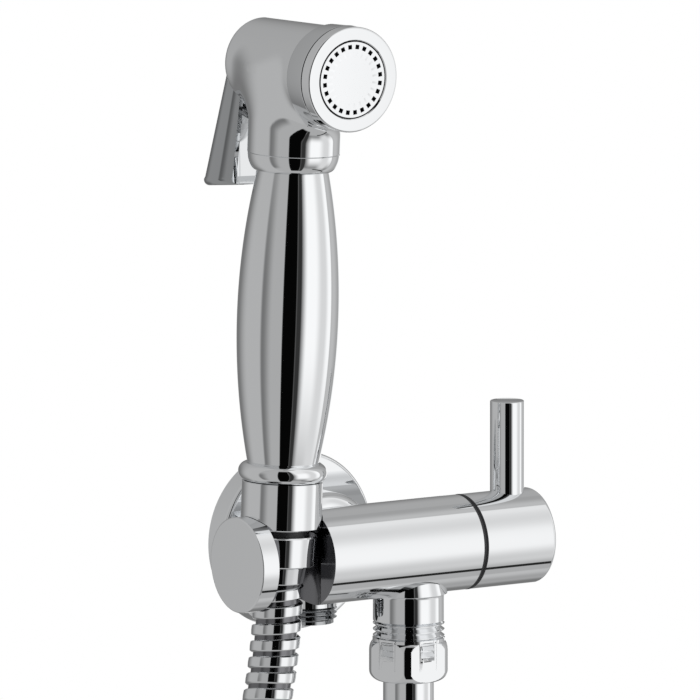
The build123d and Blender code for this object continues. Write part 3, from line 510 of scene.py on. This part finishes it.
def makeTapBody():
    b = body
    outline = [(0, b["left"]), (b["radius"] - b["edge"], b["left"])]
    outline += roundCorner((b["radius"] - b["edge"], b["left"] + b["edge"]), b["edge"], -90, 0, 5)
    outline += [(b["radius"], b["right"] - 0.3), (b["radius"] - 0.3, b["right"]), (0, b["right"])]
    piece = turnedPiece("tapBody", outline, 512, closed=False)
    setDown(piece, alongBody())

    corner = roundCorner((b["armRadius"] - b["armEdge"], b["armFront"] - b["armEdge"]), b["armEdge"], 0, 90, 16)
    outline = [(0, b["armBack"]), (b["armRadius"], b["armBack"])] + corner + [(0, b["armFront"])]
    arm = turnedPiece("arm", outline, 400, False)
    setDown(arm, toWall())
    cutOut(piece, arm, "UNION")

    for name, spout in (("inlet", inletSpout), ("outlet", outletSpout)):
        neck = threadedSpout(name, spout)
        setDown(neck, upright(*b[name]))
        cutOut(piece, neck, "UNION")

    centre = (b["slotLeft"] + b["slotRight"]) / 2
    cutOut(piece, block((b["slotRight"] - b["slotLeft"], 20, 40), (centre, axisY - 10, 0)))
    bore = roundBar(b["lowerBore"], -20, 20)
    setDown(bore, upright(centre, axisY))
    cutOut(piece, bore)
    seat = roundBar(b["seatBore"], b["seatHeight"], 30)
    setDown(seat, inHandset())
    cutOut(piece, seat)
    water = roundBar(outletSpout["bore"], -30, -8)
    setDown(water, upright(*b["outlet"]))
    cutOut(piece, water)
    smoothFaces(piece, 25)
    dress(piece, finishes["chrome"], "chrome", "stand", "valve_body")
    # the walls inside the slot take the near-black chrome: painted shade in the recess
    left, right = b["slotLeft"] + 0.01, b["slotRight"] - 0.01
    dressFaces(piece, recessShadeChrome, lambda centre, normal: (
        left - 2.5 < centre.x < right + 2.5 and math.hypot(centre.y - axisY, centre.z) < b["radius"] - 0.02
        and not (centre.x < b["left"] + 1) and centre.y < -20))
    # the outlet thread under the arm takes the darker chrome: painted shade
    x, y = b["outlet"]
    dressFaces(piece, castShadeChrome, lambda centre, normal: (
        math.hypot(centre.x - x, centre.y - y) < outletSpout["radius"] + 0.05 and centre.z < b["outletTop"]))
    dressFaces(piece, finishes["black_plastic"], lambda centre, normal: (
        centre.x > b["right"] - b["jointWall"] and normal.x > 0.35
        and math.hypot(centre.y - axisY, centre.z) > b["jointBore"]))


makeTapBody()
print("tap body made")


# handle and its lever

handle = {
    "radius": 14.0, "left": 38.4, "right": 63.0, "edge": 1.4, "bore": 10.3, "boreEnd": 44.7, "screwHole": 4.1,
    "capRadius": 8.2, "capBack": 61.0, "capFront": 62.7,
}
lever = {"x": 54.5, "radius": 5.0, "top": 40.4, "foot": 9.0, "edge": 0.35, "spigotRadius": 2.5, "spigotEnd": 5.6}


def makeHandle():
    h = handle
    outline = [(h["bore"], h["left"]), (h["radius"] - 0.4, h["left"]), (h["radius"], h["left"] + 0.4)]
    outline += roundCorner((h["radius"] - h["edge"], h["right"] - h["edge"]), h["edge"], 0, 90)
    mouth = h["capRadius"] + 0.1
    outline += [(h["capRadius"] + 0.35, h["right"]), (mouth, h["right"] - 0.25), (mouth, h["capBack"]),
                (h["screwHole"], h["capBack"]), (h["screwHole"], h["boreEnd"]), (h["bore"], h["boreEnd"])]
    piece = turnedPart("handle", outline, 400, alongBody(), "tap", "tap_handle")
    dressFaces(piece, finishes["black_plastic"], lambda centre, normal: (
        centre.x < h["left"] + body["jointWall"] and normal.x < -0.35))

    outline = [(0, h["capBack"]), (h["capRadius"], h["capBack"]), (h["capRadius"], h["capFront"] - 0.3),
               (h["capRadius"] - 0.3, h["capFront"]), (0, h["capFront"] + 0.08)]
    turnedPart("endCap", outline, 200, alongBody(), "tap", "handle_cap", closed=False)


def makeLever():
    p = lever
    outline = [(0, p["spigotEnd"]), (p["spigotRadius"], p["spigotEnd"]), (p["spigotRadius"], p["foot"]),
               (p["radius"], p["foot"])]
    outline += roundCorner((p["radius"] - p["edge"], p["top"] - p["edge"]), p["edge"], 0, 90, 4)
    outline += [(0, p["top"])]
    turnedPart("leverPin", outline, 256, upright(p["x"], axisY), "tap", "lever_pin", closed=False)


makeHandle()
makeLever()
print("handle made")


# inlet nut and supply pipe

nut = {
    "radius": 11.73, "top": -26.3, "bottom": -39.1, "edge": 3.5, "flats": 5, "apothem": 10.14, "smoothAngle": 9,
    "bore": 7.7, "threadBore": 10.6, "threadEnd": -35.2, "seatRadius": 8.0, "seat": -36.8,
}
pipe = {"radius": 7.5, "wall": 1.0, "top": -28.0, "bottom": -80.0}


def makeInletNut():
    n = nut
    outline = [(n["bore"], n["bottom"])]
    outline += roundCorner((n["radius"] - n["edge"], n["bottom"] + n["edge"]), n["edge"], -90, 0, 14)
    outline += roundCorner((n["radius"] - n["edge"], n["top"] - n["edge"]), n["edge"], 0, 90, 14)
    outline += [(n["threadBore"], n["top"]), (n["threadBore"], n["threadEnd"]), (n["seatRadius"], n["seat"]),
                (n["bore"], n["seat"])]
    piece = turnedPiece("inletNut", outline, 300)
    pick(piece)
    bpy.ops.object.mode_set(mode="EDIT")
    for flat in range(n["flats"]):
        angle = math.radians(-90 + 360 * flat / n["flats"])
        away = (math.cos(angle), math.sin(angle), 0)
        bpy.ops.mesh.select_all(action="SELECT")
        bpy.ops.mesh.bisect(
            plane_co=[v * n["apothem"] * mm for v in away], plane_no=away, use_fill=True, clear_outer=True
        )
    bpy.ops.object.mode_set(mode="OBJECT")
    setDown(piece, upright(*body["inlet"]))
    smoothFaces(piece, n["smoothAngle"])
    dress(piece, finishes["chrome"], "chrome", "stand", "compression_nut")


def makeSupplyPipe():
    p = pipe
    inner = p["radius"] - p["wall"]
    outline = [(inner, p["bottom"]), (p["radius"] - 0.15, p["bottom"]), (p["radius"], p["bottom"] + 0.15),
               (p["radius"], p["top"]), (inner, p["top"])]
    turnedPart("supplyPipe", outline, 256, upright(*body["inlet"]), "stand", "supply_pipe")


makeInletNut()
makeSupplyPipe()
print("inlet made")


# handset, from the hose nut up to the neck

grip = {
    "bottom": 28.9, "top": 114.4, "middle": 72.6, "endRadius": 10.45, "middleRadius": 14.9, "wall": 1.6, "endWall": 2,
    "lowBore": 7.1, "highBore": 5.1,
}


def arcThrough(start, middle, end, steps):
    # circle through three points of an outline
    ax, ay = start
    bx, by = middle
    cx, cy = end
    d = 2 * (ax * (by - cy) + bx * (cy - ay) + cx * (ay - by))
    ux = ((ax**2 + ay**2) * (by - cy) + (bx**2 + by**2) * (cy - ay) + (cx**2 + cy**2) * (ay - by)) / d
    uy = ((ax**2 + ay**2) * (cx - bx) + (bx**2 + by**2) * (ax - cx) + (cx**2 + cy**2) * (bx - ax)) / d
    radius = math.hypot(ax - ux, ay - uy)
    first = math.degrees(math.atan2(ay - uy, ax - ux))
    last = math.degrees(math.atan2(cy - uy, cx - ux))
    return roundCorner((ux, uy), radius, first, last, steps)


def makeGrip():
    g = grip
    end, middle = g["endRadius"], (g["middleRadius"], g["middle"])
    outline = [(g["lowBore"], g["bottom"])] + arcThrough((end, g["bottom"]), middle, (end, g["top"]), 64)
    high, low = g["top"] - g["endWall"], g["bottom"] + g["endWall"]
    end, middle = end - g["wall"], (g["middleRadius"] - g["wall"], g["middle"])
    outline += [(g["highBore"], g["top"]), (g["highBore"], high), (end, high)]
    outline += arcThrough((end, high), middle, (end, low), 24)[1:] + [(g["lowBore"], low)]
    turnedPart("grip", outline, 320, inHandset(), "handset", "grip_shell")


ringCollar = {"bore": 7.1, "low": 23.6, "high": 28.9, "endRadius": 11.0, "bulge": 13.0, "middle": 26.25}


def makeRingCollar():
    c = ringCollar
    rim = arcThrough((c["endRadius"], c["low"]), (c["bulge"], c["middle"]), (c["endRadius"], c["high"]), 24)
    outline = [(c["bore"], c["low"])] + rim + [(c["bore"], c["high"])]
    turnedPart("ringCollar", outline, 320, inHandset(), "handset", "ring_collar")


bowl = {
    "bore": 5.1, "bottom": 114.4, "top": 119.8, "foot": 10.7, "flare": 2.75, "height": 5.4, "rim": 13.2, "seam": 0.3,
}


def makeBowl():
    b = bowl
    side = []
    for step in range(25):
        angle = math.radians(270 + 90 * step / 24)
        side.append((b["foot"] + b["flare"] * math.cos(angle), b["top"] + b["height"] * math.sin(angle)))
    side[-1] = (b["foot"] + b["flare"], b["top"] - b["seam"])
    outline = [(b["bore"], b["bottom"])] + side + [(b["rim"], b["top"]), (b["bore"], b["top"])]
    turnedPart("bowl", outline, 320, inHandset(), "handset", "neck_collar")


# outlines of radius and height along the handset's axis
sleeve = {"outline": [
    (8.45, 10.0), (11.5, 10.0), (11.8, 10.3), (11.8, 23.4), (11.6, 23.6), (10.3, 23.6), (10.3, 11.2), (8.45, 11.2)]}
hoseNut = {"outline": [
    (6.5, -1.0), (10.1, -1.0), (10.4, -0.7), (10.8, 7.5), (10.5, 7.9), (8.45, 7.9), (8.45, 0.95), (6.5, 0.95)]}
hoseFerrule = {"outline": [(4.7, -6.3), (6.7, -6.3), (6.95, -6.05), (7.85, -1.6), (7.6, -1.0), (4.7, -1.0)]}

makeGrip()
makeRingCollar()
turnedPart("sleeve", sleeve["outline"], 320, inHandset(), "handset", "holder_sleeve")
makeBowl()
hoseNutPiece = turnedPart("hoseNut", hoseNut["outline"], 256, inHandset(), "handset", "hose_nut")
hoseFerrulePiece = turnedPart("hoseFerrule", hoseFerrule["outline"], 256, inHandset(), "handset", "hose_ferrule")
print("handset made")


# spray head

head = {
    "barrelZ": 144.3, "rear": 19.7, "rearRadius": 12.6, "front": -16.7, "frontRadius": 14.3, "edge": 1.5,
    "neckRadius": 13.55, "neckBottom": 119.8, "blend": 6.5, "voxel": 0.55,
    "valveZ": 128.0, "valveHole": 6.05, "pivotSlot": ((6.4, 12, 12), (0, 17.8, 134.2)),
}


def headDistance(points):
    # signed distance to the barrel and neck, joined by a round of the blend's radius
    h = head
    x, y, z = points[:, 0], points[:, 1], points[:, 2] - h["barrelZ"]
    slope = (h["frontRadius"] - h["rearRadius"]) / (h["rear"] - h["front"])
    reach = np.hypot(x, z)
    side = (reach - (h["rearRadius"] + slope * (h["rear"] - y))) / math.hypot(1, slope)
    back = y - h["rear"]
    edge = h["edge"]
    outer = np.hypot(np.maximum(side + edge, 0), np.maximum(back + edge, 0)) - edge
    inner = np.minimum(np.maximum(side, back), -edge)
    barrel = np.where((side > -edge) & (back > -edge), outer, np.maximum(side, back))
    barrel = np.where((side <= -edge) & (back <= -edge), inner, barrel)
    neck = np.hypot(x, points[:, 1]) - h["neckRadius"]
    neck = np.where(z > 0, np.hypot(np.maximum(neck, 0), z), neck)
    r = h["blend"]
    u = np.maximum(r - barrel, 0)
    v = np.maximum(r - neck, 0)
    return np.maximum(r, np.minimum(barrel, neck)) - np.hypot(u, v)


def settle(points, rounds=12):
    step = 0.02
    for turn in range(rounds):
        value = headDistance(points)
        slope = np.stack([
            (headDistance(points + np.eye(3)[k] * step) - headDistance(points - np.eye(3)[k] * step)) / (2 * step)
            for k in range(3)
        ], axis=1)
        size = np.maximum(np.sum(slope**2, axis=1), 0.2)
        points = points - slope * np.clip(value / size, -1, 1)[:, None]
    return points


def makeHead():
    h = head
    outline = [(0, -h["rear"]), (h["rearRadius"] - 1, -h["rear"]), (h["rearRadius"], -h["rear"] + 1),
               (h["frontRadius"] + 0.1, -h["front"] + 3), (0, -h["front"] + 3)]
    barrel = turnedPiece("head", outline, 96, closed=False)
    setDown(barrel, Matrix.Translation((0, 0, h["barrelZ"] * mm)) @ toWall())
    cutOut(barrel, roundBar(h["neckRadius"], h["neckBottom"] - 3, h["barrelZ"], 96), "UNION")
    pick(barrel)
    bpy.ops.object.modifier_add(type="REMESH")
    remesh = barrel.modifiers[-1]
    remesh.mode = "VOXEL"
    remesh.voxel_size = h["voxel"] * mm
    bpy.ops.object.modifier_apply(modifier=remesh.name)
    count = len(barrel.data.vertices)
    points = np.empty(count * 3)
    barrel.data.vertices.foreach_get("co", points)
    points = points.reshape(-1, 3) / mm
    low = points[:, 2] < h["neckBottom"] - 2
    fore = points[:, 1] < h["front"] - 2
    held = low | fore
    points[~held] = settle(points[~held])
    barrel.data.vertices.foreach_set("co", (points * mm).ravel())
    bpy.ops.object.mode_set(mode="EDIT")
    bpy.ops.mesh.select_all(action="SELECT")
    bpy.ops.mesh.bisect(plane_co=(0, 0, h["neckBottom"] * mm), plane_no=(0, 0, -1), use_fill=True, clear_outer=True)
    bpy.ops.mesh.select_all(action="SELECT")
    bpy.ops.mesh.bisect(plane_co=(0, h["front"] * mm, 0), plane_no=(0, -1, 0), use_fill=True, clear_outer=True)
    bpy.ops.object.mode_set(mode="OBJECT")
    hole = roundBar(h["valveHole"], -20, 12)
    setDown(hole, Matrix.Translation((0, 0, h["valveZ"] * mm)) @ toWall())
    cutOut(barrel, hole)
    cutOut(barrel, block(*h["pivotSlot"]))
    setDown(barrel, inHandset())
    pick(barrel)
    bpy.ops.object.shade_smooth_by_angle(angle=math.radians(30))
    dress(barrel, finishes["chrome"], "chrome", "handset", "head_body")


# outlines of radius and height along the barrel's axis, with the limits of their black joint grooves and bore
capRing = {
    "outline": [(11.0, 16.7), (13.9, 16.7), (14.0, 17.0), (14.45, 17.0), (14.8, 17.15), (14.95, 17.5), (15.4, 24.9),
                (15.3, 25.15), (15.0, 25.25), (15.0, 25.4), (11.0, 25.4)],
    "blackBelow": 16.98, "blackAbove": 25.2,
}
faceRing = {
    "outline": [(9.9, 25.45), (15.0, 25.45), (15.0, 25.6), (15.3, 25.65), (15.4, 25.8)]
    + roundCorner((15.4 - 0.6, 29.4 - 0.6), 0.6, 0, 90, 5)
    + [(11.7, 29.4), (11.45, 29.15), (11.45, 27.6), (9.9, 27.6)],
    "blackBelow": 25.62, "blackWithin": 11.5,
}


def makeFaceRings():
    toAxis = alongBarrel().inverted()
    c, f = capRing, faceRing
    ring = turnedPart("capRing", c["outline"], 360, alongBarrel(), "handset", "cap_ring", material=ringChrome)
    dressFaces(ring, finishes["black_plastic"], lambda centre, normal: (
        centre.z < c["blackBelow"] or centre.z > c["blackAbove"]), toAxis)
    ring = turnedPart("faceRing", f["outline"], 360, alongBarrel(), "handset", "face_ring")
    dressFaces(ring, finishes["black_plastic"], lambda centre, normal: (
        math.hypot(centre.x, centre.y) < f["blackWithin"] or centre.z < f["blackBelow"]), toAxis)


plate = {"radius": 11.2, "back": 27.65, "front": 29.2, "holes": 24, "holeSize": 1.3, "circle": 9.6}


def makeSprayPlate():
    p = plate
    outline = [(0, p["back"]), (p["radius"], p["back"]), (p["radius"], p["front"] - 0.15),
               (p["radius"] - 0.15, p["front"]), (7.0, p["front"]), (6.9, p["front"] + 0.02), (0, p["front"] + 0.05)]
    piece = turnedPiece("sprayPlate", outline, 240, closed=False)
    for hole in range(p["holes"]):
        turn = math.radians(360 * (hole + 0.5) / p["holes"])
        cutter = block((p["holeSize"], p["holeSize"], 6), (p["circle"], 0, p["front"]))
        setDown(cutter, Matrix.Rotation(turn, 4, "Z"))
        cutOut(piece, cutter)
    setDown(piece, alongBarrel())
    smoothFaces(piece)
    dress(piece, finishes["plate_steel"], "plate_steel", "handset", "spray_plate")
    dressFaces(piece, finishes["rubber"], lambda centre, normal: centre.z < p["front"] - 0.03,
               alongBarrel().inverted())


makeHead()
makeFaceRings()
makeSprayPlate()
print("spray head made")


# trigger: a leaning casting, rounded at the back, with a shallow recess towards the neck

trigger = {
    "bottomRadius": 10.3, "topRadius": 6.6, "length": 32.6, "corner": 2.0, "foot": (28.0, 107.0), "lean": 6.1,
    "footTilt": 0.22, "wider": 1.09, "flatterBack": 0.8, "front": 20.35, "recessFloor": 108.2, "recessTop": 141.0,
    "recessHalfLow": 6.2, "recessHalfHigh": 4.2, "recessBack": 3.2, "pivot": (15.5, 137.0), "tongueHalf": 2.9,
    "tongueRadius": 2.6, "pinHole": 1.3, "boss": 22.62, "bossDeep": 26.5, "bossHalf": 3.4, "bossTop": 130.5,
    "bossBottom": 125.5, "bevel": 0.3, "bevelAngle": 35, "unshadedDepth": 25.5, "unshadedHalf": 6.3,
    "unshadedAbove": 108.0,
}


def sidePrism(name, outline, half):
    # an outline of depth and height in mm, filled and drawn out to both sides
    clearSelection()
    bpy.ops.mesh.primitive_plane_add(size=mm)
    prism = bpy.context.object
    prism.name = name
    bpy.ops.object.mode_set(mode="EDIT")
    bpy.ops.mesh.select_all(action="SELECT")
    bpy.ops.mesh.merge(type="CENTER")
    bpy.ops.transform.translate(value=(-half * mm, outline[0][0] * mm, outline[0][1] * mm))
    for before, after in zip(outline, outline[1:] + outline[:1]):
        step = (0, (after[0] - before[0]) * mm, (after[1] - before[1]) * mm)
        bpy.ops.mesh.extrude_region_move(TRANSFORM_OT_translate={"value": step})
    bpy.ops.mesh.select_all(action="SELECT")
    bpy.ops.mesh.remove_doubles(threshold=0.001 * mm)
    bpy.ops.mesh.edge_face_add()
    bpy.ops.mesh.extrude_region_move(TRANSFORM_OT_translate={"value": (2 * half * mm, 0, 0)})
    bpy.ops.mesh.select_all(action="SELECT")
    bpy.ops.mesh.normals_make_consistent(inside=False)
    bpy.ops.object.mode_set(mode="OBJECT")
    return prism


def makeTrigger():
    t = trigger
    slope = (t["bottomRadius"] - t["topRadius"]) / t["length"]
    corner = roundCorner((t["bottomRadius"] - t["corner"], t["corner"]), t["corner"], -90, 0, 10)
    outline = [(0, 0)] + corner
    outline += [(t["bottomRadius"] - slope * t["corner"] * 1.4, t["corner"] * 1.4), (t["topRadius"], t["length"]),
                (0, t["length"])]
    lever = turnedPiece("triggerLever", outline, 320, closed=False)
    y, z = t["foot"]
    leaning = Matrix.Translation((0, y * mm, z * mm)) @ Matrix.Rotation(math.radians(t["lean"]), 4, "X")
    for vertex in lever.data.vertices:
        vertex.co.z -= t["footTilt"] * vertex.co.y * (1 - vertex.co.z / mm / t["length"])
        vertex.co.x *= t["wider"]
        if vertex.co.y > 0:
            vertex.co.y *= t["flatterBack"]
    setDown(lever, leaning)
    cutOut(lever, block((40, 30, 60), (0, t["front"] - 15, 122)))

    # the recess on the neck's side, wider at its foot
    drift = math.tan(math.radians(t["lean"]))
    recess = sidePrism("recess", [
        (t["front"] - 5, t["recessTop"]), (y - t["recessBack"] - drift * (t["recessTop"] - z), t["recessTop"]),
        (y - t["recessBack"] - drift * (t["recessFloor"] - z), t["recessFloor"]), (t["front"] - 5, t["recessFloor"])],
        t["recessHalfLow"])
    for vertex in recess.data.vertices:
        if vertex.co.z > (t["recessTop"] - 1) * mm:
            vertex.co.x *= t["recessHalfHigh"] / t["recessHalfLow"]
    cutOut(lever, recess)

    y, z = t["pivot"]
    acrossPivot = Matrix.Translation((0, y * mm, z * mm)) @ Matrix.Rotation(math.radians(90), 4, "Y")
    tongue = roundBar(t["tongueRadius"], -t["tongueHalf"], t["tongueHalf"], 96)
    setDown(tongue, acrossPivot)
    cutOut(tongue, block((2 * t["tongueHalf"], 12, 3), (0, y + 6, z)), "UNION")
    cutOut(lever, tongue, "UNION")
    boss = sidePrism("boss", [(t["boss"], t["bossTop"]), (t["bossDeep"], t["bossTop"]),
                              (t["bossDeep"], t["bossBottom"]), (t["boss"], t["bossBottom"])], t["bossHalf"])
    cutOut(lever, boss, "UNION")
    hole = roundBar(t["pinHole"], -9, 9, 64)
    setDown(hole, acrossPivot)
    cutOut(lever, hole)
    pick(lever)
    bpy.ops.object.modifier_add(type="BEVEL")
    lever.modifiers[-1].width = t["bevel"] * mm
    lever.modifiers[-1].segments = 4
    lever.modifiers[-1].angle_limit = math.radians(t["bevelAngle"])
    bpy.ops.object.modifier_apply(modifier=lever.modifiers[-1].name)
    setDown(lever, inHandset())
    smoothFaces(lever)
    # the lever takes the darker chrome as painted shade, and its panel facing the neck keeps the bright chrome as the
    # lit side
    dress(lever, castShadeChrome, "chrome", "trigger", "trigger_lever")
    dressFaces(lever, finishes["chrome"], lambda centre, normal: (
        centre.y < t["unshadedDepth"] and abs(centre.x) < t["unshadedHalf"] and centre.z > t["unshadedAbove"]
        and normal.y < -0.5), inHandset().inverted())


makeTrigger()
print("trigger made")


# CAD pieces that keep their own shape

record = frame["record"]
for part in record["subparts"]:
    node = frame["nodes"][part["node"]]
    node.data.materials.clear()
    plated = part["node"] in ("valve_cage", "valve_plunger")
    node.data.materials.append(finishes["steel" if plated else part["material_slot"]])
cordFittings = [frame["nodes"][n] for n in (
    "hose_insert", "hose_washer", "coil_ties", "far_ferrule", "far_insert", "far_nut", "far_washer")]
for piece in [hosePiece] + cordFittings:
    piece.visible_glossy = False  # the put-away coil isn't mirrored in the tap
print("small parts finished")

# studio: pale floor, white surroundings, and a dome of soft cards that only the metal mirrors

def keepForMirrors(thing):
    thing.visible_camera = False
    thing.visible_diffuse = False
    thing.visible_shadow = False
    thing.visible_transmission = False


def glowMaterial(name):
    material, nodes, links = newMaterial(name)
    nodes.remove(nodes["Principled BSDF"])
    glow = nodes.new("ShaderNodeEmission")
    links.new(glow.outputs["Emission"], nodes["Material Output"].inputs["Surface"])
    material.cycles.emission_sampling = "NONE"
    return material, nodes, links, glow


# degrees round from the camera to the right and up from level, each edge with its softness
dome = {"radius": 10.0, "height": 0.06, "shade": 0.20}
softCards = {
    "sky": {"left": (-200, 0), "right": (200, 0), "low": (38, 40), "high": (90, 0), "shade": 0.44},
    "ground": {"left": (-200, 0), "right": (200, 0), "low": (-90, 0), "high": (-52, 14), "shade": 0.46},
    "leftWall": {"left": (-103, 48), "right": (-67, 7), "low": (-70, 10), "high": (90, 0), "shade": 0.50},
    "frontLeftWall": {"left": (-36, 23), "right": (-14, 2.5), "low": (-70, 10), "high": (60, 20), "shade": 0.46},
    "blackFlag": {"left": (-11.5, 2.5), "right": (16, 3), "low": (-60, 8), "high": (55, 10), "shade": 0.002},
    "flagEdge": {"left": (20, 4), "right": (27, 4), "low": (-60, 8), "high": (55, 10), "shade": 0.035},
    "softBox": {"left": (44, 17), "right": (110, 7), "low": (-10, 38), "high": (64, 10), "shade": 1.11},
    "softBoxTop": {"left": (44, 17), "right": (110, 7), "low": (42, 26), "high": (64, 10), "shade": 0.90},
    "softBoxDip": {"left": (82, 20), "right": (90, 14), "low": (-34, 20), "high": (40, 20), "shade": 0.78},
    "backRightWall": {"left": (117, 7), "right": (154, 4), "low": (-60, 20), "high": (90, 0), "shade": 0.40},
    "rightWall": {"left": (117, 7), "right": (122, 26), "low": (-60, 20), "high": (90, 0), "shade": 0.57},
    "backdropRight": {"left": (157, 6), "right": (200, 0), "low": (-16, 8), "high": (-3, 8), "shade": 1.05},
    "groundLine": {"left": (64, 4), "right": (118, 4), "low": (-50.6, 0.6), "high": (-47.6, 0.6), "shade": 0.02},
    "backdropLeft": {"left": (-200, 0), "right": (-174, 9), "low": (-17, 6), "high": (-10, 4), "shade": 0.75},
}


def addFade(nodes, links, value, start, end):
    fade = nodes.new("ShaderNodeMapRange")
    fade.interpolation_type = "SMOOTHSTEP"
    fade.inputs["From Min"].default_value = start
    fade.inputs["From Max"].default_value = end
    links.new(value, fade.inputs["Value"])
    return fade.outputs["Result"]


def addMath(nodes, links, operation, first, second=None):
    step = nodes.new("ShaderNodeMath")
    step.operation = operation
    for slot, value in enumerate((first, second)):
        if value is None:
            continue
        if isinstance(value, (int, float)):
            step.inputs[slot].default_value = value
        else:
            links.new(value, step.inputs[slot])
    return step.outputs[0]


def addSoftCard(nodes, links, card, around, up, below):
    edges = [
        (around, card["left"][0] - card["left"][1] - 0.01, card["left"][0]),
        (around, card["right"][0] + card["right"][1] + 0.01, card["right"][0]),
        (up, card["low"][0] - card["low"][1] - 0.01, card["low"][0]),
        (up, card["high"][0] + card["high"][1] + 0.01, card["high"][0]),
    ]
    mask = 1.0
    for value, start, end in edges:
        mask = addMath(nodes, links, "MULTIPLY", mask, addFade(nodes, links, value, start, end))
    blend = nodes.new("ShaderNodeMix")
    links.new(mask, blend.inputs[0])
    if isinstance(below, float):
        blend.inputs[2].default_value = below
    else:
        links.new(below, blend.inputs[2])
    blend.inputs[3].default_value = card["shade"]
    return blend.outputs[0]


def makeDome():
    clearSelection()
    bpy.ops.mesh.primitive_ico_sphere_add(subdivisions=5, radius=dome["radius"], location=(0, 0, dome["height"]))
    shell = bpy.context.object
    shell.name = "studioDome"
    material, nodes, links, glow = glowMaterial("studio dome")
    place = nodes.new("ShaderNodeTexCoord")
    turn = nodes.new("ShaderNodeMapping")
    turn.inputs["Rotation"].default_value[2] = math.radians(view["yaw"])
    axes = nodes.new("ShaderNodeSeparateXYZ")
    links.new(place.outputs["Object"], turn.inputs["Vector"])
    links.new(turn.outputs["Vector"], axes.inputs["Vector"])
    front = addMath(nodes, links, "MULTIPLY", axes.outputs["Y"], -1.0)
    around = addMath(nodes, links, "DEGREES", addMath(nodes, links, "ARCTAN2", axes.outputs["X"], front))
    height = addMath(nodes, links, "DIVIDE", axes.outputs["Z"], dome["radius"])
    up = addMath(nodes, links, "DEGREES", addMath(nodes, links, "ARCSINE", height))
    shade = dome["shade"]
    for card in softCards.values():
        shade = addSoftCard(nodes, links, card, around, up, shade)
    links.new(shade, glow.inputs["Strength"])
    shell.data.materials.append(material)
    keepForMirrors(shell)


def showAs(links, nodes, target, plain, shown):
    # a value for camera, mirror and glass rays, and another for light on the object
    path = nodes.new("ShaderNodeLightPath")
    seen = addMath(nodes, links, "MAXIMUM", path.outputs["Is Camera Ray"], path.outputs["Is Glossy Ray"])
    seen = addMath(nodes, links, "MAXIMUM", seen, path.outputs["Is Transmission Ray"])
    level = nodes.new("ShaderNodeMapRange")
    level.inputs["To Min"].default_value = plain
    level.inputs["To Max"].default_value = shown
    links.new(seen, level.inputs["Value"])
    links.new(level.outputs["Result"], target)


ground = {"radius": 1.6, "height": -0.6, "shownWhite": 0.85}
surroundings = {"light": 0.8, "shown": 1.0}


def makeFloor():
    clearSelection()
    bpy.ops.mesh.primitive_circle_add(
        vertices=96, radius=ground["radius"], fill_type="NGON", location=(0, 0, ground["height"]))
    floor = bpy.context.object
    floor.name = "floor"
    material, nodes, links = newMaterial("pale floor")
    surface = nodes["Principled BSDF"]
    surface.inputs["Base Color"].default_value = (0.9, 0.9, 0.9, 1)
    surface.inputs["Roughness"].default_value = 0.8
    glow = nodes.new("ShaderNodeEmission")
    mix = nodes.new("ShaderNodeMixShader")
    showAs(links, nodes, mix.inputs["Fac"], 0.0, ground["shownWhite"])
    links.new(surface.outputs["BSDF"], mix.inputs[1])
    links.new(glow.outputs["Emission"], mix.inputs[2])
    links.new(mix.outputs["Shader"], nodes["Material Output"].inputs["Surface"])
    floor.data.materials.append(material)
    floor.visible_glossy = False


def makeWorld():
    world = bpy.data.worlds.new("studio")
    bpy.context.scene.world = world
    world.use_nodes = True
    nodes = world.node_tree.nodes
    glow = nodes["Background"]
    glow.inputs["Color"].default_value = (1, 1, 1, 1)
    showAs(world.node_tree.links, nodes, glow.inputs["Strength"], surroundings["light"], surroundings["shown"])


makeFloor()
makeWorld()
makeDome()
bpy.context.scene.view_settings.view_transform = "Standard"
print("studio made")
